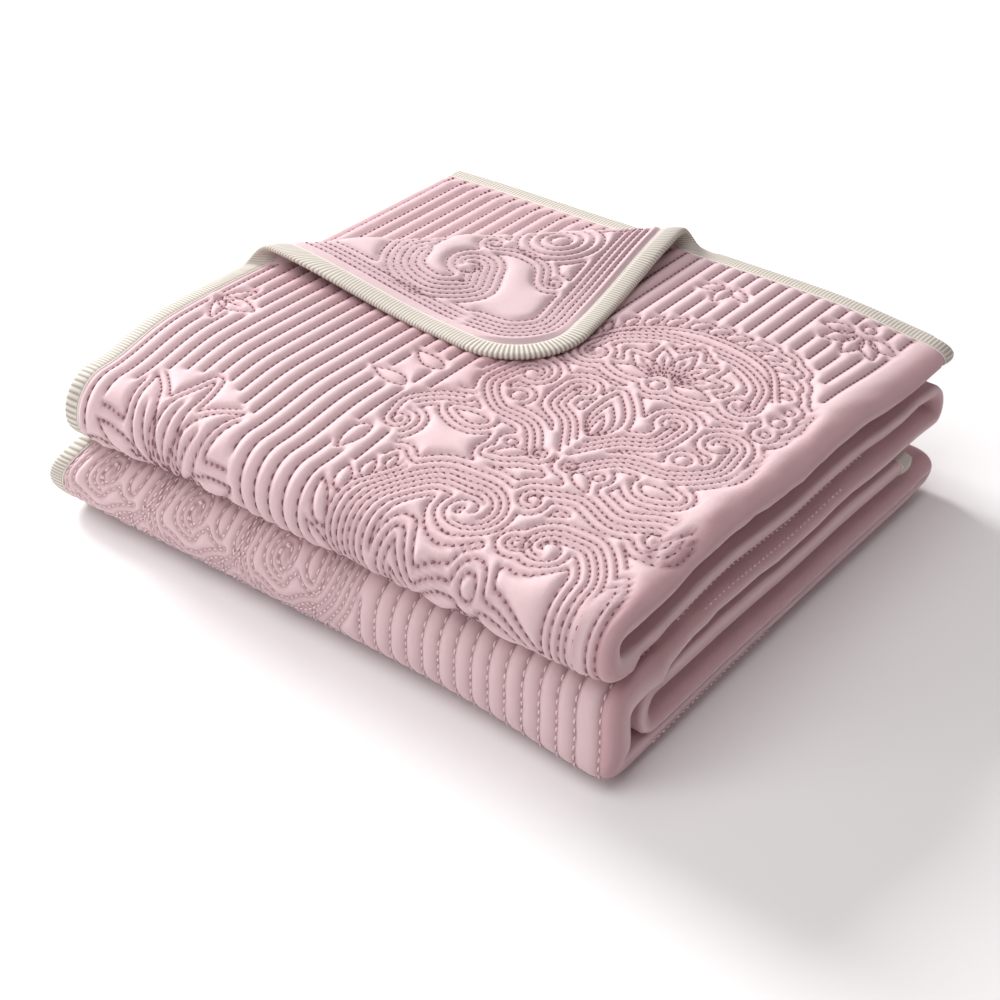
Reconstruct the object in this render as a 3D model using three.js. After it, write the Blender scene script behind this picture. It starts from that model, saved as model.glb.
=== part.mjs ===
// A quilted comforter folded into a rectangular stack, with one corner of its top ply turned
// back. Millimetres, +Z up, the stack resting on Z = 0 with the middle of its footprint at
// X = Y = 0. The comforter is one rib-quilted cloth with a grosgrain binding folded over its
// whole hem. It is folded in three across (s runs over the plies) and then back and forth
// from front to back in six layers (q runs over the layers), so every point of it is
// given by s, q and its height k above the middle of the cloth.
import * as THREE from "three";

const { clamp, lerp, smoothstep } = THREE.MathUtils;

// Sizes of the folded stack
const WIDTH = 395;
const DEPTH = 350;
const ORIGIN = { x: 194.81, y: 174.11, z: 0 };

// Cloth and binding, halves of a thickness measured from the middle of the cloth
const CLOTH_HALF = 1.2;
const EDGE_HALF = 0.7;
const BINDING_WIDTH = 12.5;
const BINDING_WALL = 1;
const CLEARANCE = 0.3;
const EDGE_INSET = 1.2;
const BORDER_INSET = 13.7;

// Quilting: channels that run from front to back, the first groove at RIB_START
const RIB_PITCH = 10.8;
const RIB_START = 18.5;
const RIB_HEIGHT = 0.9;

// Across: ply 1 lies on top and curves down at the right to a crease, ply 2 returns from there
// along the bottom, and ply 3 turns back between them from the left fold.
const PLY_PITCH = 5.3;
const RIGHT_ROUND = 16;
const CREASE_RADIUS = 2;
const ROUND_POWER = 2;
const SQUARE_POWER = 4;
const RIGHT_END = WIDTH - CLOTH_HALF;
const LEFT_FOLD = 11;
const INNER_HEM = WIDTH - 17;

// Front to back: the legs of the fold as the middle of the three plies follows them. A run
// eases from one height to the next, a turn is half a rounded square that bulges by reach to
// the front or the back. steps counts the faces along a leg.
const LEGS = [
  { name: "top", y0: DEPTH, y1: 80, z0: 96.5, z1: 96.5, steps: 8, ribs: 1 },
  { name: "top_front", y0: 80, y1: 17, z0: 96.5, z1: 91, steps: 3, ribs: 1 },
  { name: "front_upper", side: -1, y: 17, z0: 91, z1: 65, reach: 15, power: 2.1, steps: 8, ribs: 1 },
  { name: "second_front", y0: 17, y1: 90, z0: 65, z1: 70, steps: 2, ribs: 0 },
  { name: "second", y0: 90, y1: 336, z0: 70, z1: 70, steps: 3, ribs: 0 },
  { name: "back_upper", side: 1, y: 336, z0: 70, z1: 54, reach: 8, power: 2, steps: 6, ribs: 0 },
  { name: "third", y0: 336, y1: 95, z0: 54, z1: 54, steps: 3, ribs: 0 },
  { name: "third_front", y0: 95, y1: 28, z0: 54, z1: 49.2, steps: 2, ribs: 0 },
  { name: "front_lower", side: -1, y: 28, z0: 49.2, z1: 6.5, reach: 24, power: 3.4, steps: 10, ribs: 1 },
  { name: "bottom", y0: 28, y1: 328, z0: 6.5, z1: 6.5, steps: 4, ribs: 0 },
  { name: "back_lower", side: 1, y: 328, z0: 6.5, z1: 19.9, reach: 6.9, power: 2, steps: 6, ribs: 0 },
  { name: "fifth", y0: 328, y1: 38, z0: 19.9, z1: 19.9, steps: 3, ribs: 0 },
  { name: "front_inner", side: -1, y: 38, z0: 19.9, z1: 35.6, reach: 8, power: 2, steps: 5, ribs: 0 },
  { name: "fourth", y0: 38, y1: 306, z0: 35.6, z1: 35.6, steps: 3, ribs: 0 },
];
const PATH_STEP = 1.5;
const TURN_SAMPLES = 60;
const TAIL = 60;

// Turned-back corner: the crease runs from A on the left hem to B on the far hem, and the
// corner beyond it rolls over a cylinder and settles on the ply it came from.
const A = { x: 0, y: 145 };
const B = { x: 218, y: DEPTH };
const CORNER_LIFT = 52;
const CORNER_RADIUS = 48;
const ROLL = 7;
const SETTLE = 95;
const REST_GAP = 5.4;
const CREASE = Math.hypot(B.x - A.x, B.y - A.y);
const ALONG = { x: (B.x - A.x) / CREASE, y: (B.y - A.y) / CREASE };
const BEYOND = { x: -ALONG.y, y: ALONG.x };
const HEM_SLOPE = CORNER_LIFT / B.x;
const HEM_SECANT = Math.hypot(1, HEM_SLOPE);

// Curve through points as samples: length travelled, place u, v and facing, to the left of
// the way where hand is 1 and to its right where it is -1
function measured(points, hand) {
  let length = 0;
  return points.map(([u, v], i) => {
    const before = points[Math.max(i - 1, 0)];
    const after = points[Math.min(i + 1, points.length - 1)];
    if (i) length += Math.hypot(u - before[0], v - before[1]);
    const du = after[0] - before[0];
    const dv = after[1] - before[1];
    const size = Math.hypot(du, dv);
    return { length, u, v, nu: (-hand * dv) / size, nv: (hand * du) / size };
  });
}

// Place and facing at a length along such a curve
function along(samples, length) {
  let low = 0;
  let high = samples.length - 1;
  while (high - low > 1) {
    const middle = (low + high) >> 1;
    if (samples[middle].length <= length) low = middle;
    else high = middle;
  }
  const a = samples[low];
  const b = samples[high];
  const t = (length - a.length) / (b.length - a.length);
  const nu = lerp(a.nu, b.nu, t);
  const nv = lerp(a.nv, b.nv, t);
  const size = Math.hypot(nu, nv);
  return { u: lerp(a.u, b.u, t), v: lerp(a.v, b.v, t), nu: nu / size, nv: nv / size };
}

// Run from one place to another, without its end
function run(u0, v0, u1, v1) {
  const count = Math.ceil(Math.abs(u1 - u0) / PATH_STEP);
  return Array.from({ length: count }, (_, i) => {
    const ease = (1 - Math.cos((Math.PI * i) / count)) / 2;
    return [lerp(u0, u1, i / count), lerp(v0, v1, ease)];
  });
}

// Part of an ellipse about u, v between two angles from its top, without its end
function turn(u, v, ru, rv, from, to) {
  return Array.from({ length: TURN_SAMPLES }, (_, i) => {
    const angle = lerp(from, to, i / TURN_SAMPLES);
    return [u + ru * Math.sin(angle), v + rv * Math.cos(angle)];
  });
}

// Plies from the left hem of ply 1 to the hem of ply 3: x and height w over the middle ply.
// The right edge is a quarter of a superellipse of that power.
function samplePlies(power) {
  const start = RIGHT_END - RIGHT_ROUND;
  const low = -PLY_PITCH + CREASE_RADIUS;
  const edge = turn(0, 0, 1, 1, 0, Math.PI / 2).map(([out, up]) => [
    start + RIGHT_ROUND * out ** (2 / power),
    low + (PLY_PITCH - low) * up ** (2 / power),
  ]);
  const stretches = [
    run(0, PLY_PITCH, start, PLY_PITCH),
    [
      ...edge,
      ...turn(RIGHT_END - CREASE_RADIUS, low, CREASE_RADIUS, CREASE_RADIUS, Math.PI / 2, Math.PI),
    ],
    run(RIGHT_END - CREASE_RADIUS, -PLY_PITCH, LEFT_FOLD, -PLY_PITCH),
    turn(LEFT_FOLD, -PLY_PITCH / 2, -PLY_PITCH / 2, PLY_PITCH / 2, Math.PI, 0),
    [...run(LEFT_FOLD, 0, INNER_HEM, 0), [INNER_HEM, 0]],
  ];
  const samples = measured(stretches.flat(), 1);
  let first = 0;
  const starts = stretches.map((stretch) => {
    first += stretch.length;
    return samples[Math.min(first, samples.length - 1)].length;
  });
  return { samples, starts };
}

// Fold path from the far hem of the top layer to the hem inside: y and z of the middle ply
function sampleFold() {
  const points = [[LEGS[0].y0 + TAIL, LEGS[0].z0]];
  for (const leg of LEGS) {
    leg.first = points.length;
    if (leg.side) {
      const middle = (leg.z0 + leg.z1) / 2;
      const half = (leg.z0 - leg.z1) / 2;
      for (const [out, up] of turn(0, 0, 1, 1, 0, Math.PI)) {
        points.push([
          leg.y + leg.side * leg.reach * out ** (2 / leg.power),
          middle + half * Math.sign(up) * Math.abs(up) ** (2 / leg.power),
        ]);
      }
    } else {
      points.push(...run(leg.y0, leg.z0, leg.y1, leg.z1));
    }
  }
  const last = LEGS.at(-1);
  const end = points.length;
  points.push([last.y1, last.z1], [last.y1 + TAIL, last.z1]);
  const samples = measured(points, -1);
  const start = samples[LEGS[0].first].length;
  for (const sample of samples) sample.length -= start;
  LEGS.forEach((leg, i) => {
    leg.q0 = samples[leg.first].length;
    leg.q1 = samples[i + 1 < LEGS.length ? LEGS[i + 1].first : end].length;
  });
  return samples;
}

const FOLD = sampleFold();
const PLIES = samplePlies(ROUND_POWER);
const [S1, S2, S3, S4, S5] = PLIES.starts;
const SQUARE_PLIES = samplePlies(SQUARE_POWER).samples.map((sample, i) => {
  return { ...sample, length: PLIES.samples[i].length };
});
const CREASE_START = S2 - (Math.PI / 2) * CREASE_RADIUS;

// How square the right edge is at length q: its middle, strength and width for each bulge
const SQUARE = [
  { leg: "front_upper", strength: 0.6, width: 45 },
  { leg: "front_lower", strength: 1, width: 80 },
].map(({ leg, strength, width }) => {
  const { q0, q1 } = LEGS.find(({ name }) => name === leg);
  return { middle: (q0 + q1) / 2, strength, width };
});

const bell = (v) => Math.exp(-v * v);

function squareness(q) {
  return SQUARE.reduce((sum, { middle, strength, width }) => {
    return sum + strength * bell((q - middle) / width);
  }, 0);
}

// Place and facing across the plies at length s, at length q along the fold
function across(s, q) {
  const round = along(PLIES.samples, s);
  if (s <= S1 || s >= S2) return round;
  const square = along(SQUARE_PLIES, s);
  const share = squareness(q);
  const nu = lerp(round.nu, square.nu, share);
  const nv = lerp(round.nv, square.nv, share);
  const size = Math.hypot(nu, nv);
  const [u, v] = [lerp(round.u, square.u, share), lerp(round.v, square.v, share)];
  return { u, v, nu: nu / size, nv: nv / size };
}

// Distance of a point of ply 1 beyond the crease of the turned-back corner
function beyondCrease(s, q) {
  return (s - A.x) * BEYOND.x + (DEPTH - q - A.y) * BEYOND.y;
}

// Unevenness of the settled stack, which fades towards the floor. left is 1 at the left hem,
// front, right and back are 1 at those sides, and low is 1 in the lower front bulge.
function settle(x, y, z) {
  const t = clamp(z / 100, 0, 1.3);
  const left = 1 - x / WIDTH;
  const front = Math.exp(-Math.max(y, 0) / 60);
  const right = Math.exp(-Math.max(WIDTH - x, 0) / 40);
  const back = smoothstep(y, 318, 352) * smoothstep(x, 60, WIDTH);
  const low = bell((z - 22) / 26);
  // The front left and back right corners droop, and the right side and the top wave
  let dz = -4 * bell(x / 70) * bell(y / 60) * t * t;
  dz -= 8 * bell((WIDTH - x) / 46) * bell((DEPTH - y) / 75) * t ** 4;
  dz += 2 * Math.sin((2 * Math.PI * y) / 120 + 2.2) * right * t;
  dz += 1.3 * Math.sin(x / 62 + 0.4) * Math.sin(y / 75 + 1) * t;
  // The gap between the front bulges opens to the left, and the back folds close up
  dz += (1 - 9 * left) * bell((z - 58) / 24) * bell(y / 60) * smoothstep(z, 0, 20);
  dz += 7 * back * (bell((z - 10) / 25) - bell((z - 62) / 25));
  // The left hem lifts off the floor
  dz += 1.5 * bell(x / 30) * bell(z / 14);
  // The front waves, and the lower bulge leans out at its ends
  let dy = 2.5 * Math.sin(x / 90 + 0.5) * front * t - (3 + 5 * left * left) * low * front;
  let dx = (6 * (1 - left) ** 3 - 13 * bell(x / 90) * front) * low;
  dx += 5 * bell(x / 90) * bell((z - 92) / 22) * bell((y - 10) / 60);
  // The right ends of both bulges spread to the front, most of all at the floor
  const spread = front * bell((WIDTH - x) / 70) * (bell(z / 22) + 0.4 * bell((z - 62) / 14));
  dy -= 10 * spread;
  dx += 3.6 * spread;
  return new THREE.Vector3(x + dx - ORIGIN.x, y + dy - ORIGIN.y, z + dz - ORIGIN.z);
}

// Point of the comforter at s across, q along and k above the middle of the cloth
function place(s, q, k) {
  const b = s < B.x + 1 && q < DEPTH ? beyondCrease(s, q) : -1;
  if (b > 0) {
    const a = (s - A.x) * ALONG.x + (DEPTH - q - A.y) * ALONG.y;
    const angle = Math.min(b / ROLL, Math.PI);
    const over = Math.max(b - Math.PI * ROLL, 0);
    const t = clamp(over / SETTLE, 0, 1);
    const fall = 2 * ROLL - REST_GAP;
    const slope = (fall * 6 * t * (1 - t)) / SETTLE;
    let back = ROLL * Math.sin(angle) - over;
    let up = ROLL * (1 - Math.cos(angle)) - fall * t * t * (3 - 2 * t);
    if (over > 0) {
      const size = Math.hypot(1, slope);
      back += (k * slope) / size;
      up -= k / size;
    } else {
      back -= k * Math.sin(angle);
      up += k * Math.cos(angle);
    }
    const x = A.x + a * ALONG.x + back * BEYOND.x;
    const y = A.y + a * ALONG.y + back * BEYOND.y;
    return settle(x, y, LEGS[0].z0 + PLY_PITCH + up);
  }
  const ply = across(s, q);
  const fold = along(FOLD, q);
  const off = ply.v + k * ply.nv;
  return settle(ply.u + k * ply.nu, fold.u + off * fold.nu, fold.v + off * fold.nv);
}

// Flat outline of the cloth, all on the line BORDER_INSET inside its hem
const ARC = CORNER_RADIUS - BORDER_INSET;
const ARC_Q = -CORNER_LIFT + CORNER_RADIUS * (HEM_SLOPE + HEM_SECANT);
const ARC_END = CORNER_RADIUS + (ARC * HEM_SLOPE) / HEM_SECANT;
const LINE_Q = -CORNER_LIFT + BORDER_INSET * HEM_SECANT;
const BEND = (BORDER_INSET - LINE_Q) / HEM_SLOPE;
const CREASE_SLOPE = ALONG.y / ALONG.x;
const MEETING = (DEPTH - A.y - LINE_Q) / (HEM_SLOPE + CREASE_SLOPE);
const FAR_STEP = [-4, -9];

function farBorder(s) {
  if (s < ARC_END) return ARC_Q - Math.sqrt(ARC * ARC - (s - CORNER_RADIUS) ** 2);
  if (s < BEND) return LINE_Q + HEM_SLOPE * s;
  const second = FAR_STEP[0] * smoothstep(s, S1 - 30, S2 + 30);
  const third = (FAR_STEP[1] - FAR_STEP[0]) * smoothstep(s, S3 - 50, S4 + 50);
  return BORDER_INSET + second + third;
}

const creaseQ = (s) => DEPTH - A.y - CREASE_SLOPE * s;

// Outward step from a border point to the hem, turned along the crease where the cloth rolls
function outward(normal, s, q) {
  if (s > B.x + 40) return normal;
  const b = beyondCrease(s, q);
  const near = smoothstep(b, -32, -8) * (1 - smoothstep(b, 34, 60));
  const tangent = { s: -normal.q, q: normal.s };
  const sideways = ALONG.x * tangent.s - ALONG.y * tangent.q;
  const out = ALONG.x * normal.s - ALONG.y * normal.q;
  const skew = (near * sideways) / out;
  return { s: normal.s + skew * tangent.s, q: normal.q + skew * tangent.q };
}

function farNormal(s) {
  if (s < ARC_END) {
    const ds = s - CORNER_RADIUS;
    const dq = farBorder(s) - ARC_Q;
    const size = Math.hypot(ds, dq);
    return { s: ds / size, q: dq / size };
  }
  if (s < BEND) return { s: HEM_SLOPE / HEM_SECANT, q: -1 / HEM_SECANT };
  return { s: 0, q: -1 };
}

// Even steps from a to b, without a itself
function steps(a, b, count) {
  return Array.from({ length: count }, (_, i) => lerp(a, b, (i + 1) / count));
}

// Columns across, by the detail each stretch of a row needs
const PLY_COLUMNS = 5;
const RIGHT_ROUND_COLUMNS = 4;
const CREASE_COLUMNS = 2;
const LEFT_TURN_COLUMNS = 3;
const ribCount = Math.floor((S1 - RIB_START) / RIB_PITCH);
const ribEnd = RIB_START + ribCount * RIB_PITCH;
const inner = [
  ...steps(S1, CREASE_START, RIGHT_ROUND_COLUMNS),
  ...steps(CREASE_START, S2, CREASE_COLUMNS),
  ...steps(S2, S3, PLY_COLUMNS),
  ...steps(S3, S4, LEFT_TURN_COLUMNS),
  ...steps(S4, S5 - BORDER_INSET, PLY_COLUMNS),
];
const plain = [BORDER_INSET, ...steps(BORDER_INSET, S1, PLY_COLUMNS), ...inner];
const ribbed = [BORDER_INSET, RIB_START, ...steps(RIB_START, ribEnd, 2 * ribCount), S1, ...inner];
const corner = [
  BORDER_INSET,
  ...steps(BORDER_INSET, 130, 6),
  ...steps(130, MEETING, 8),
];
const cornerHem = [
  BORDER_INSET,
  ...steps(BORDER_INSET, ARC_END, 7).map((s) => {
    const t = (s - BORDER_INSET) / (ARC_END - BORDER_INSET);
    return lerp(BORDER_INSET, ARC_END, t * t);
  }),
  ...steps(ARC_END, 160, 6),
  ...steps(160, MEETING, 11),
];
const farHem = [MEETING, ...steps(MEETING, B.x + 8, 4), ...steps(B.x + 8, S1, 8), ...inner];
const creaseRow = [...corner, ...farHem.slice(1)];

// Height of the quilted channels over the flat cloth
function quilting(s, q, leg) {
  if (!leg.ribs || s < RIB_START || s > ribEnd) return 0;
  const phase = ((s - RIB_START) / RIB_PITCH) % 1;
  const height = RIB_HEIGHT * Math.abs(Math.sin(Math.PI * phase));
  if (leg.name !== "front_lower") return height;
  return height * (1 - smoothstep(q, lerp(leg.q0, leg.q1, 0.55), lerp(leg.q0, leg.q1, 0.85)));
}

// Triangles gathered for one solid
class Skin {
  points = [];
  faces = [];
  add(point) {
    this.points.push(point);
    return this.points.length - 1;
  }
  triangle(a, b, c) {
    if (a !== b && b !== c && c !== a) this.faces.push(a, b, c);
  }
  // Strip between two rows of points, each an id with its position s along the row
  strip(first, second, flip) {
    let i = 0;
    let j = 0;
    while (i < first.length - 1 || j < second.length - 1) {
      const nextFirst = i + 1 < first.length ? first[i + 1].s : Infinity;
      const nextSecond = j + 1 < second.length ? second[j + 1].s : Infinity;
      const apex = nextFirst <= nextSecond ? first[i + 1].id : second[j + 1].id;
      if (flip) this.triangle(first[i].id, apex, second[j].id);
      else this.triangle(first[i].id, second[j].id, apex);
      if (nextFirst <= nextSecond) i++;
      else j++;
    }
  }
  geometry() {
    const buffer = new THREE.BufferGeometry();
    const flat = this.points.flatMap((p) => [p.x, p.y, p.z]);
    buffer.setAttribute("position", new THREE.Float32BufferAttribute(flat, 3));
    buffer.setIndex(this.faces);
    buffer.computeVertexNormals();
    return buffer;
  }
}

// Rows of the cloth from the far hem of the top layer to the hem inside the stack
const ROLL_ROWS = [0.035, 0.07, 0.105, 0.14, 0.18, 0.23, 0.3, 0.4, 0.55, 0.78];

function clothRows() {
  const rows = [];
  for (const v of [1, ...ROLL_ROWS.toReversed()]) {
    const columns = v === 1 ? cornerHem : corner;
    rows.push({
      corner: true,
      face: columns,
      back: columns,
      leg: LEGS[1],
      ribs: false,
      at: (s) => lerp(creaseQ(s), farBorder(s), v),
    });
  }
  const start = (s) => (s < MEETING ? creaseQ(s) : farBorder(s));
  rows.push({ face: creaseRow, back: creaseRow, leg: LEGS[0], ribs: false, at: start });
  for (const leg of LEGS) {
    for (let i = 1; i <= leg.steps; i++) {
      const last = leg === LEGS.at(-1) && i === leg.steps;
      const q = lerp(leg.q0, leg.q1, i / leg.steps);
      const end = last ? q - BORDER_INSET : q;
      const detailed = leg.ribs && !(leg.name === "front_lower" && i === leg.steps);
      rows.push({
        face: detailed ? ribbed : plain,
        back: plain,
        leg,
        ribs: detailed,
        at: leg === LEGS[0] ? (s) => lerp(start(s), leg.q1, i / leg.steps) : () => end,
      });
    }
  }
  return rows;
}

// Both faces of the cloth and the loop of border points round them
function clothFaces(skin) {
  const rows = clothRows();
  const sides = [
    { half: CLOTH_HALF, key: "face", flip: false },
    { half: -CLOTH_HALF, key: "back", flip: true },
  ];
  const creaseIndex = rows.findIndex((row) => !row.corner);
  for (const side of sides) {
    for (const row of rows) {
      row[side.key] = row[side.key].map((s) => {
        const q = row.at(s);
        const relief = side.half > 0 && row.ribs ? quilting(s, q, row.leg) : 0;
        return { s, q, id: skin.add(place(s, q, side.half + relief)) };
      });
    }
    const meeting = rows[creaseIndex][side.key].find((p) => p.s === MEETING);
    rows.filter((row) => row.corner).forEach((row) => {
      row[side.key][row[side.key].length - 1] = meeting;
    });
    for (let i = 1; i < rows.length; i++) {
      const above = rows[i - 1][side.key];
      let below = rows[i][side.key];
      if (i === creaseIndex) below = below.slice(0, below.indexOf(meeting) + 1);
      skin.strip(above, below, side.flip);
    }
  }
  return { rows, creaseIndex };
}

// Border points in one loop, each with its step out to the hem
function borderLoop(rows, creaseIndex) {
  const loop = [];
  const add = (row, index, normal) => {
    const face = row.face.at(index);
    const back = row.back.at(index);
    loop.push({ face, back, out: outward(normal, face.s, face.q) });
  };
  const hem = rows[0].face;
  hem.forEach((point, i) => {
    if (i < hem.length - 1) add(rows[0], i, i ? farNormal(point.s) : { s: -1, q: 0 });
  });
  const crease = rows[creaseIndex];
  const from = crease.face.findIndex((p) => p.s === MEETING);
  for (let i = from; i < crease.face.length - 1; i++) {
    add(crease, i, farNormal(crease.face[i].s));
  }
  add(crease, -1, { s: 1, q: -1 });
  for (const row of rows.slice(creaseIndex + 1, -1)) add(row, -1, { s: 1, q: 0 });
  const last = rows.at(-1);
  add(last, -1, { s: 1, q: 1 });
  for (let i = last.face.length - 2; i > 0; i--) add(last, i, { s: 0, q: 1 });
  add(last, 0, { s: -1, q: 1 });
  for (const row of rows.slice(1, -1).toReversed()) add(row, 0, { s: -1, q: 0 });
  return loop;
}

// Point over a border station, inset from the hem
function hemPoint(station, inset, k) {
  const step = BORDER_INSET - inset;
  const { s, q } = station.face;
  return place(s + step * station.out.s, q + step * station.out.q, k);
}

// Band round the loop through rings of points. Each face is cut the same way on either side
// of a gap: from the inner or upper ring to the next station of the other ring.
function ringBand(skin, rings, closed) {
  const count = rings[0].ids.length;
  const pairs = closed ? rings.length : rings.length - 1;
  for (let r = 0; r < pairs; r++) {
    const upper = rings[r];
    const lower = rings[(r + 1) % rings.length];
    const level = upper.inset === lower.inset;
    const outwards = level ? upper.k > lower.k : upper.inset > lower.inset;
    for (let i = 0; i < count; i++) {
      const j = (i + 1) % count;
      const [a, b] = [upper.ids[i], upper.ids[j]];
      const [c, d] = [lower.ids[i], lower.ids[j]];
      skin.triangle(a, b, outwards ? d : c);
      skin.triangle(outwards ? a : b, d, c);
    }
  }
}

function hemRing(skin, loop, inset, k) {
  return { inset, k, ids: loop.map((station) => skin.add(hemPoint(station, inset, k))) };
}

const cloth = new Skin();
const { rows, creaseIndex } = clothFaces(cloth);
const loop = borderLoop(rows, creaseIndex);
const clothEdge = [
  { inset: BORDER_INSET, k: CLOTH_HALF, ids: loop.map((station) => station.face.id) },
  hemRing(cloth, loop, EDGE_INSET, EDGE_HALF),
  hemRing(cloth, loop, EDGE_INSET, -EDGE_HALF),
  { inset: BORDER_INSET, k: -CLOTH_HALF, ids: loop.map((station) => station.back.id) },
];
ringBand(cloth, clothEdge, false);

// Binding: a strip folded over the hem, its section as inset from the hem and height k
const INNER_TIP = EDGE_HALF + CLEARANCE;
const taper = (CLOTH_HALF - EDGE_HALF) / (BORDER_INSET - EDGE_INSET);
const INNER_MOUTH = EDGE_HALF + taper * (BINDING_WIDTH - EDGE_INSET) + CLEARANCE;
const SECTION = [
  [BINDING_WIDTH, INNER_MOUTH + BINDING_WALL],
  [2, INNER_TIP + BINDING_WALL],
  [0, INNER_TIP * 0.9],
  [0, -INNER_TIP * 0.9],
  [2, -INNER_TIP - BINDING_WALL],
  [BINDING_WIDTH, -INNER_MOUTH - BINDING_WALL],
  [BINDING_WIDTH, -INNER_MOUTH],
  [EDGE_INSET - CLEARANCE, -INNER_TIP],
  [EDGE_INSET - CLEARANCE, INNER_TIP],
  [BINDING_WIDTH, INNER_MOUTH],
];
const binding = new Skin();
ringBand(binding, SECTION.map(([inset, k]) => hemRing(binding, loop, inset, k)), true);

const group = new THREE.Group();

function addPiece(name, skin, color, roughness) {
  const material = new THREE.MeshStandardMaterial({ color, roughness, metalness: 0 });
  const mesh = new THREE.Mesh(skin.geometry(), material);
  mesh.name = name;
  group.add(mesh);
}

addPiece("quilted_cloth", cloth, 0xd3a2aa, 0.85);
addPiece("edge_binding", binding, 0xc9c3ad, 0.75);

export default group;
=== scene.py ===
import math

import bpy
import numpy as np
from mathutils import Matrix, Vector


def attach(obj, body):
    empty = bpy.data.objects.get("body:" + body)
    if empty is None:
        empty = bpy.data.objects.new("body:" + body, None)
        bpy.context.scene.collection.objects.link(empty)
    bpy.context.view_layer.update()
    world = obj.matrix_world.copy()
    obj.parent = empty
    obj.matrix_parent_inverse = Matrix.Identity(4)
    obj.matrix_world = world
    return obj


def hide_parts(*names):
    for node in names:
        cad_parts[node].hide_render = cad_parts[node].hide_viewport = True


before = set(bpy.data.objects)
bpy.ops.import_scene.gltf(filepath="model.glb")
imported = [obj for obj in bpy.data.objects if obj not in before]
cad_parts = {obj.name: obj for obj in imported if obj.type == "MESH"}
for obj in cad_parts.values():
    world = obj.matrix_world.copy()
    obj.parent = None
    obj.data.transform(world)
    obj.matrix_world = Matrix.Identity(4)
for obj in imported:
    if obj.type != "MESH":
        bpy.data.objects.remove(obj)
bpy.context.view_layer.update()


# The quilted cloth. A thin sandwich of brushed microfibre, wadding and backing, sewn together
# in channels and scrolls, cut as one sheet and folded: in three across, then in six layers.
# Its points are given by s across the plies, q along the fold and k above its middle.

# footprint in millimetres, and where the frame's origin lies in it
WIDTH, DEPTH = 395.0, 350.0
ORIGIN = np.array([194.81, 174.11, 0.0])

# half thickness inside and at the hem; insets from the hem to the thin edge and to full cloth
CLOTH_HALF, EDGE_HALF = 1.2, 0.7
EDGE_INSET, BORDER_INSET = 1.2, 13.7

# the fold in three: pitch of the plies, left fold, end of ply 3, and the right edge's rounding
PLY_PITCH, LEFT_FOLD = 5.3, 11.0
INNER_HEM = WIDTH - 17
RIGHT_END, RIGHT_ROUND, CREASE_RADIUS = WIDTH - CLOTH_HALF, 16.0, 2.0
ROUND_POWER, SQUARE_POWER = 2, 4

# the fold into six layers: name, side of a turn, y from, y to, z from, z to, reach, power
LEGS = [
    ("top", 0, DEPTH, 80, 96.5, 96.5, 0, 0),
    ("top_front", 0, 80, 17, 96.5, 91, 0, 0),
    ("front_upper", -1, 17, 17, 91, 65, 15, 2.1),
    ("second_front", 0, 17, 90, 65, 70, 0, 0),
    ("second", 0, 90, 336, 70, 70, 0, 0),
    ("back_upper", 1, 336, 336, 70, 54, 8, 2),
    ("third", 0, 336, 95, 54, 54, 0, 0),
    ("third_front", 0, 95, 28, 54, 49.2, 0, 0),
    ("front_lower", -1, 28, 28, 49.2, 6.5, 24, 3.4),
    ("bottom", 0, 28, 328, 6.5, 6.5, 0, 0),
    ("back_lower", 1, 328, 328, 6.5, 19.9, 6.9, 2),
    ("fifth", 0, 328, 38, 19.9, 19.9, 0, 0),
    ("front_inner", -1, 38, 38, 19.9, 35.6, 8, 2),
    ("fourth", 0, 38, 306, 35.6, 35.6, 0, 0),
]
PATH_STEP, TURN_SAMPLES, TAIL = 1.5, 60, 60.0


def run(u0, v0, u1, v1):
    """Points from one place to another, without its end; v eases by half a cosine."""
    count = math.ceil(abs(u1 - u0) / PATH_STEP)
    t = np.arange(count) / count
    return np.stack([u0 + (u1 - u0) * t, v0 + (v1 - v0) * (1 - np.cos(np.pi * t)) / 2], 1)


def turn(u, v, ru, rv, start, end):
    """Part of an ellipse about u, v between two angles from its top, without its end."""
    angle = start + (end - start) * np.arange(TURN_SAMPLES) / TURN_SAMPLES
    return np.stack([u + ru * np.sin(angle), v + rv * np.cos(angle)], 1)


def power_of(v, power):
    """A circle's coordinate made a superellipse's: its size to the 2/power, its sign kept."""
    return np.sign(v) * np.abs(v) ** (2 / power)


def lengths(line):
    """Length travelled along a line at each of its points."""
    return np.concatenate([[0], np.cumsum(np.linalg.norm(np.diff(line, axis=0), axis=1))])


def at_lengths(v, travelled, line):
    """Points of a line at lengths v along it, by straight steps between its own points."""
    return np.stack([np.interp(v, travelled, line[:, i]) for i in (0, 1)], -1)


def measured(parts, hand):
    """Curve through parts: lengths travelled, points, facings to its left where hand is 1 and
    to its right where it is -1, and the length at which each part ends."""
    p = np.concatenate(parts)
    wide = np.concatenate([p[1:], p[-1:]]) - np.concatenate([p[:1], p[:-1]])
    wide /= np.linalg.norm(wide, axis=1)[:, None]
    ends = np.minimum(np.cumsum([len(part) for part in parts]), len(p) - 1)
    travelled = lengths(p)
    return travelled, p, hand * np.stack([-wide[:, 1], wide[:, 0]], 1), travelled[ends]


def along(path, v):
    """Place and facing at lengths v along a measured curve."""
    travelled, points, facings = path
    point, facing = at_lengths(v, travelled, points), at_lengths(v, travelled, facings)
    return point, facing / np.linalg.norm(facing, axis=-1)[..., None]


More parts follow.
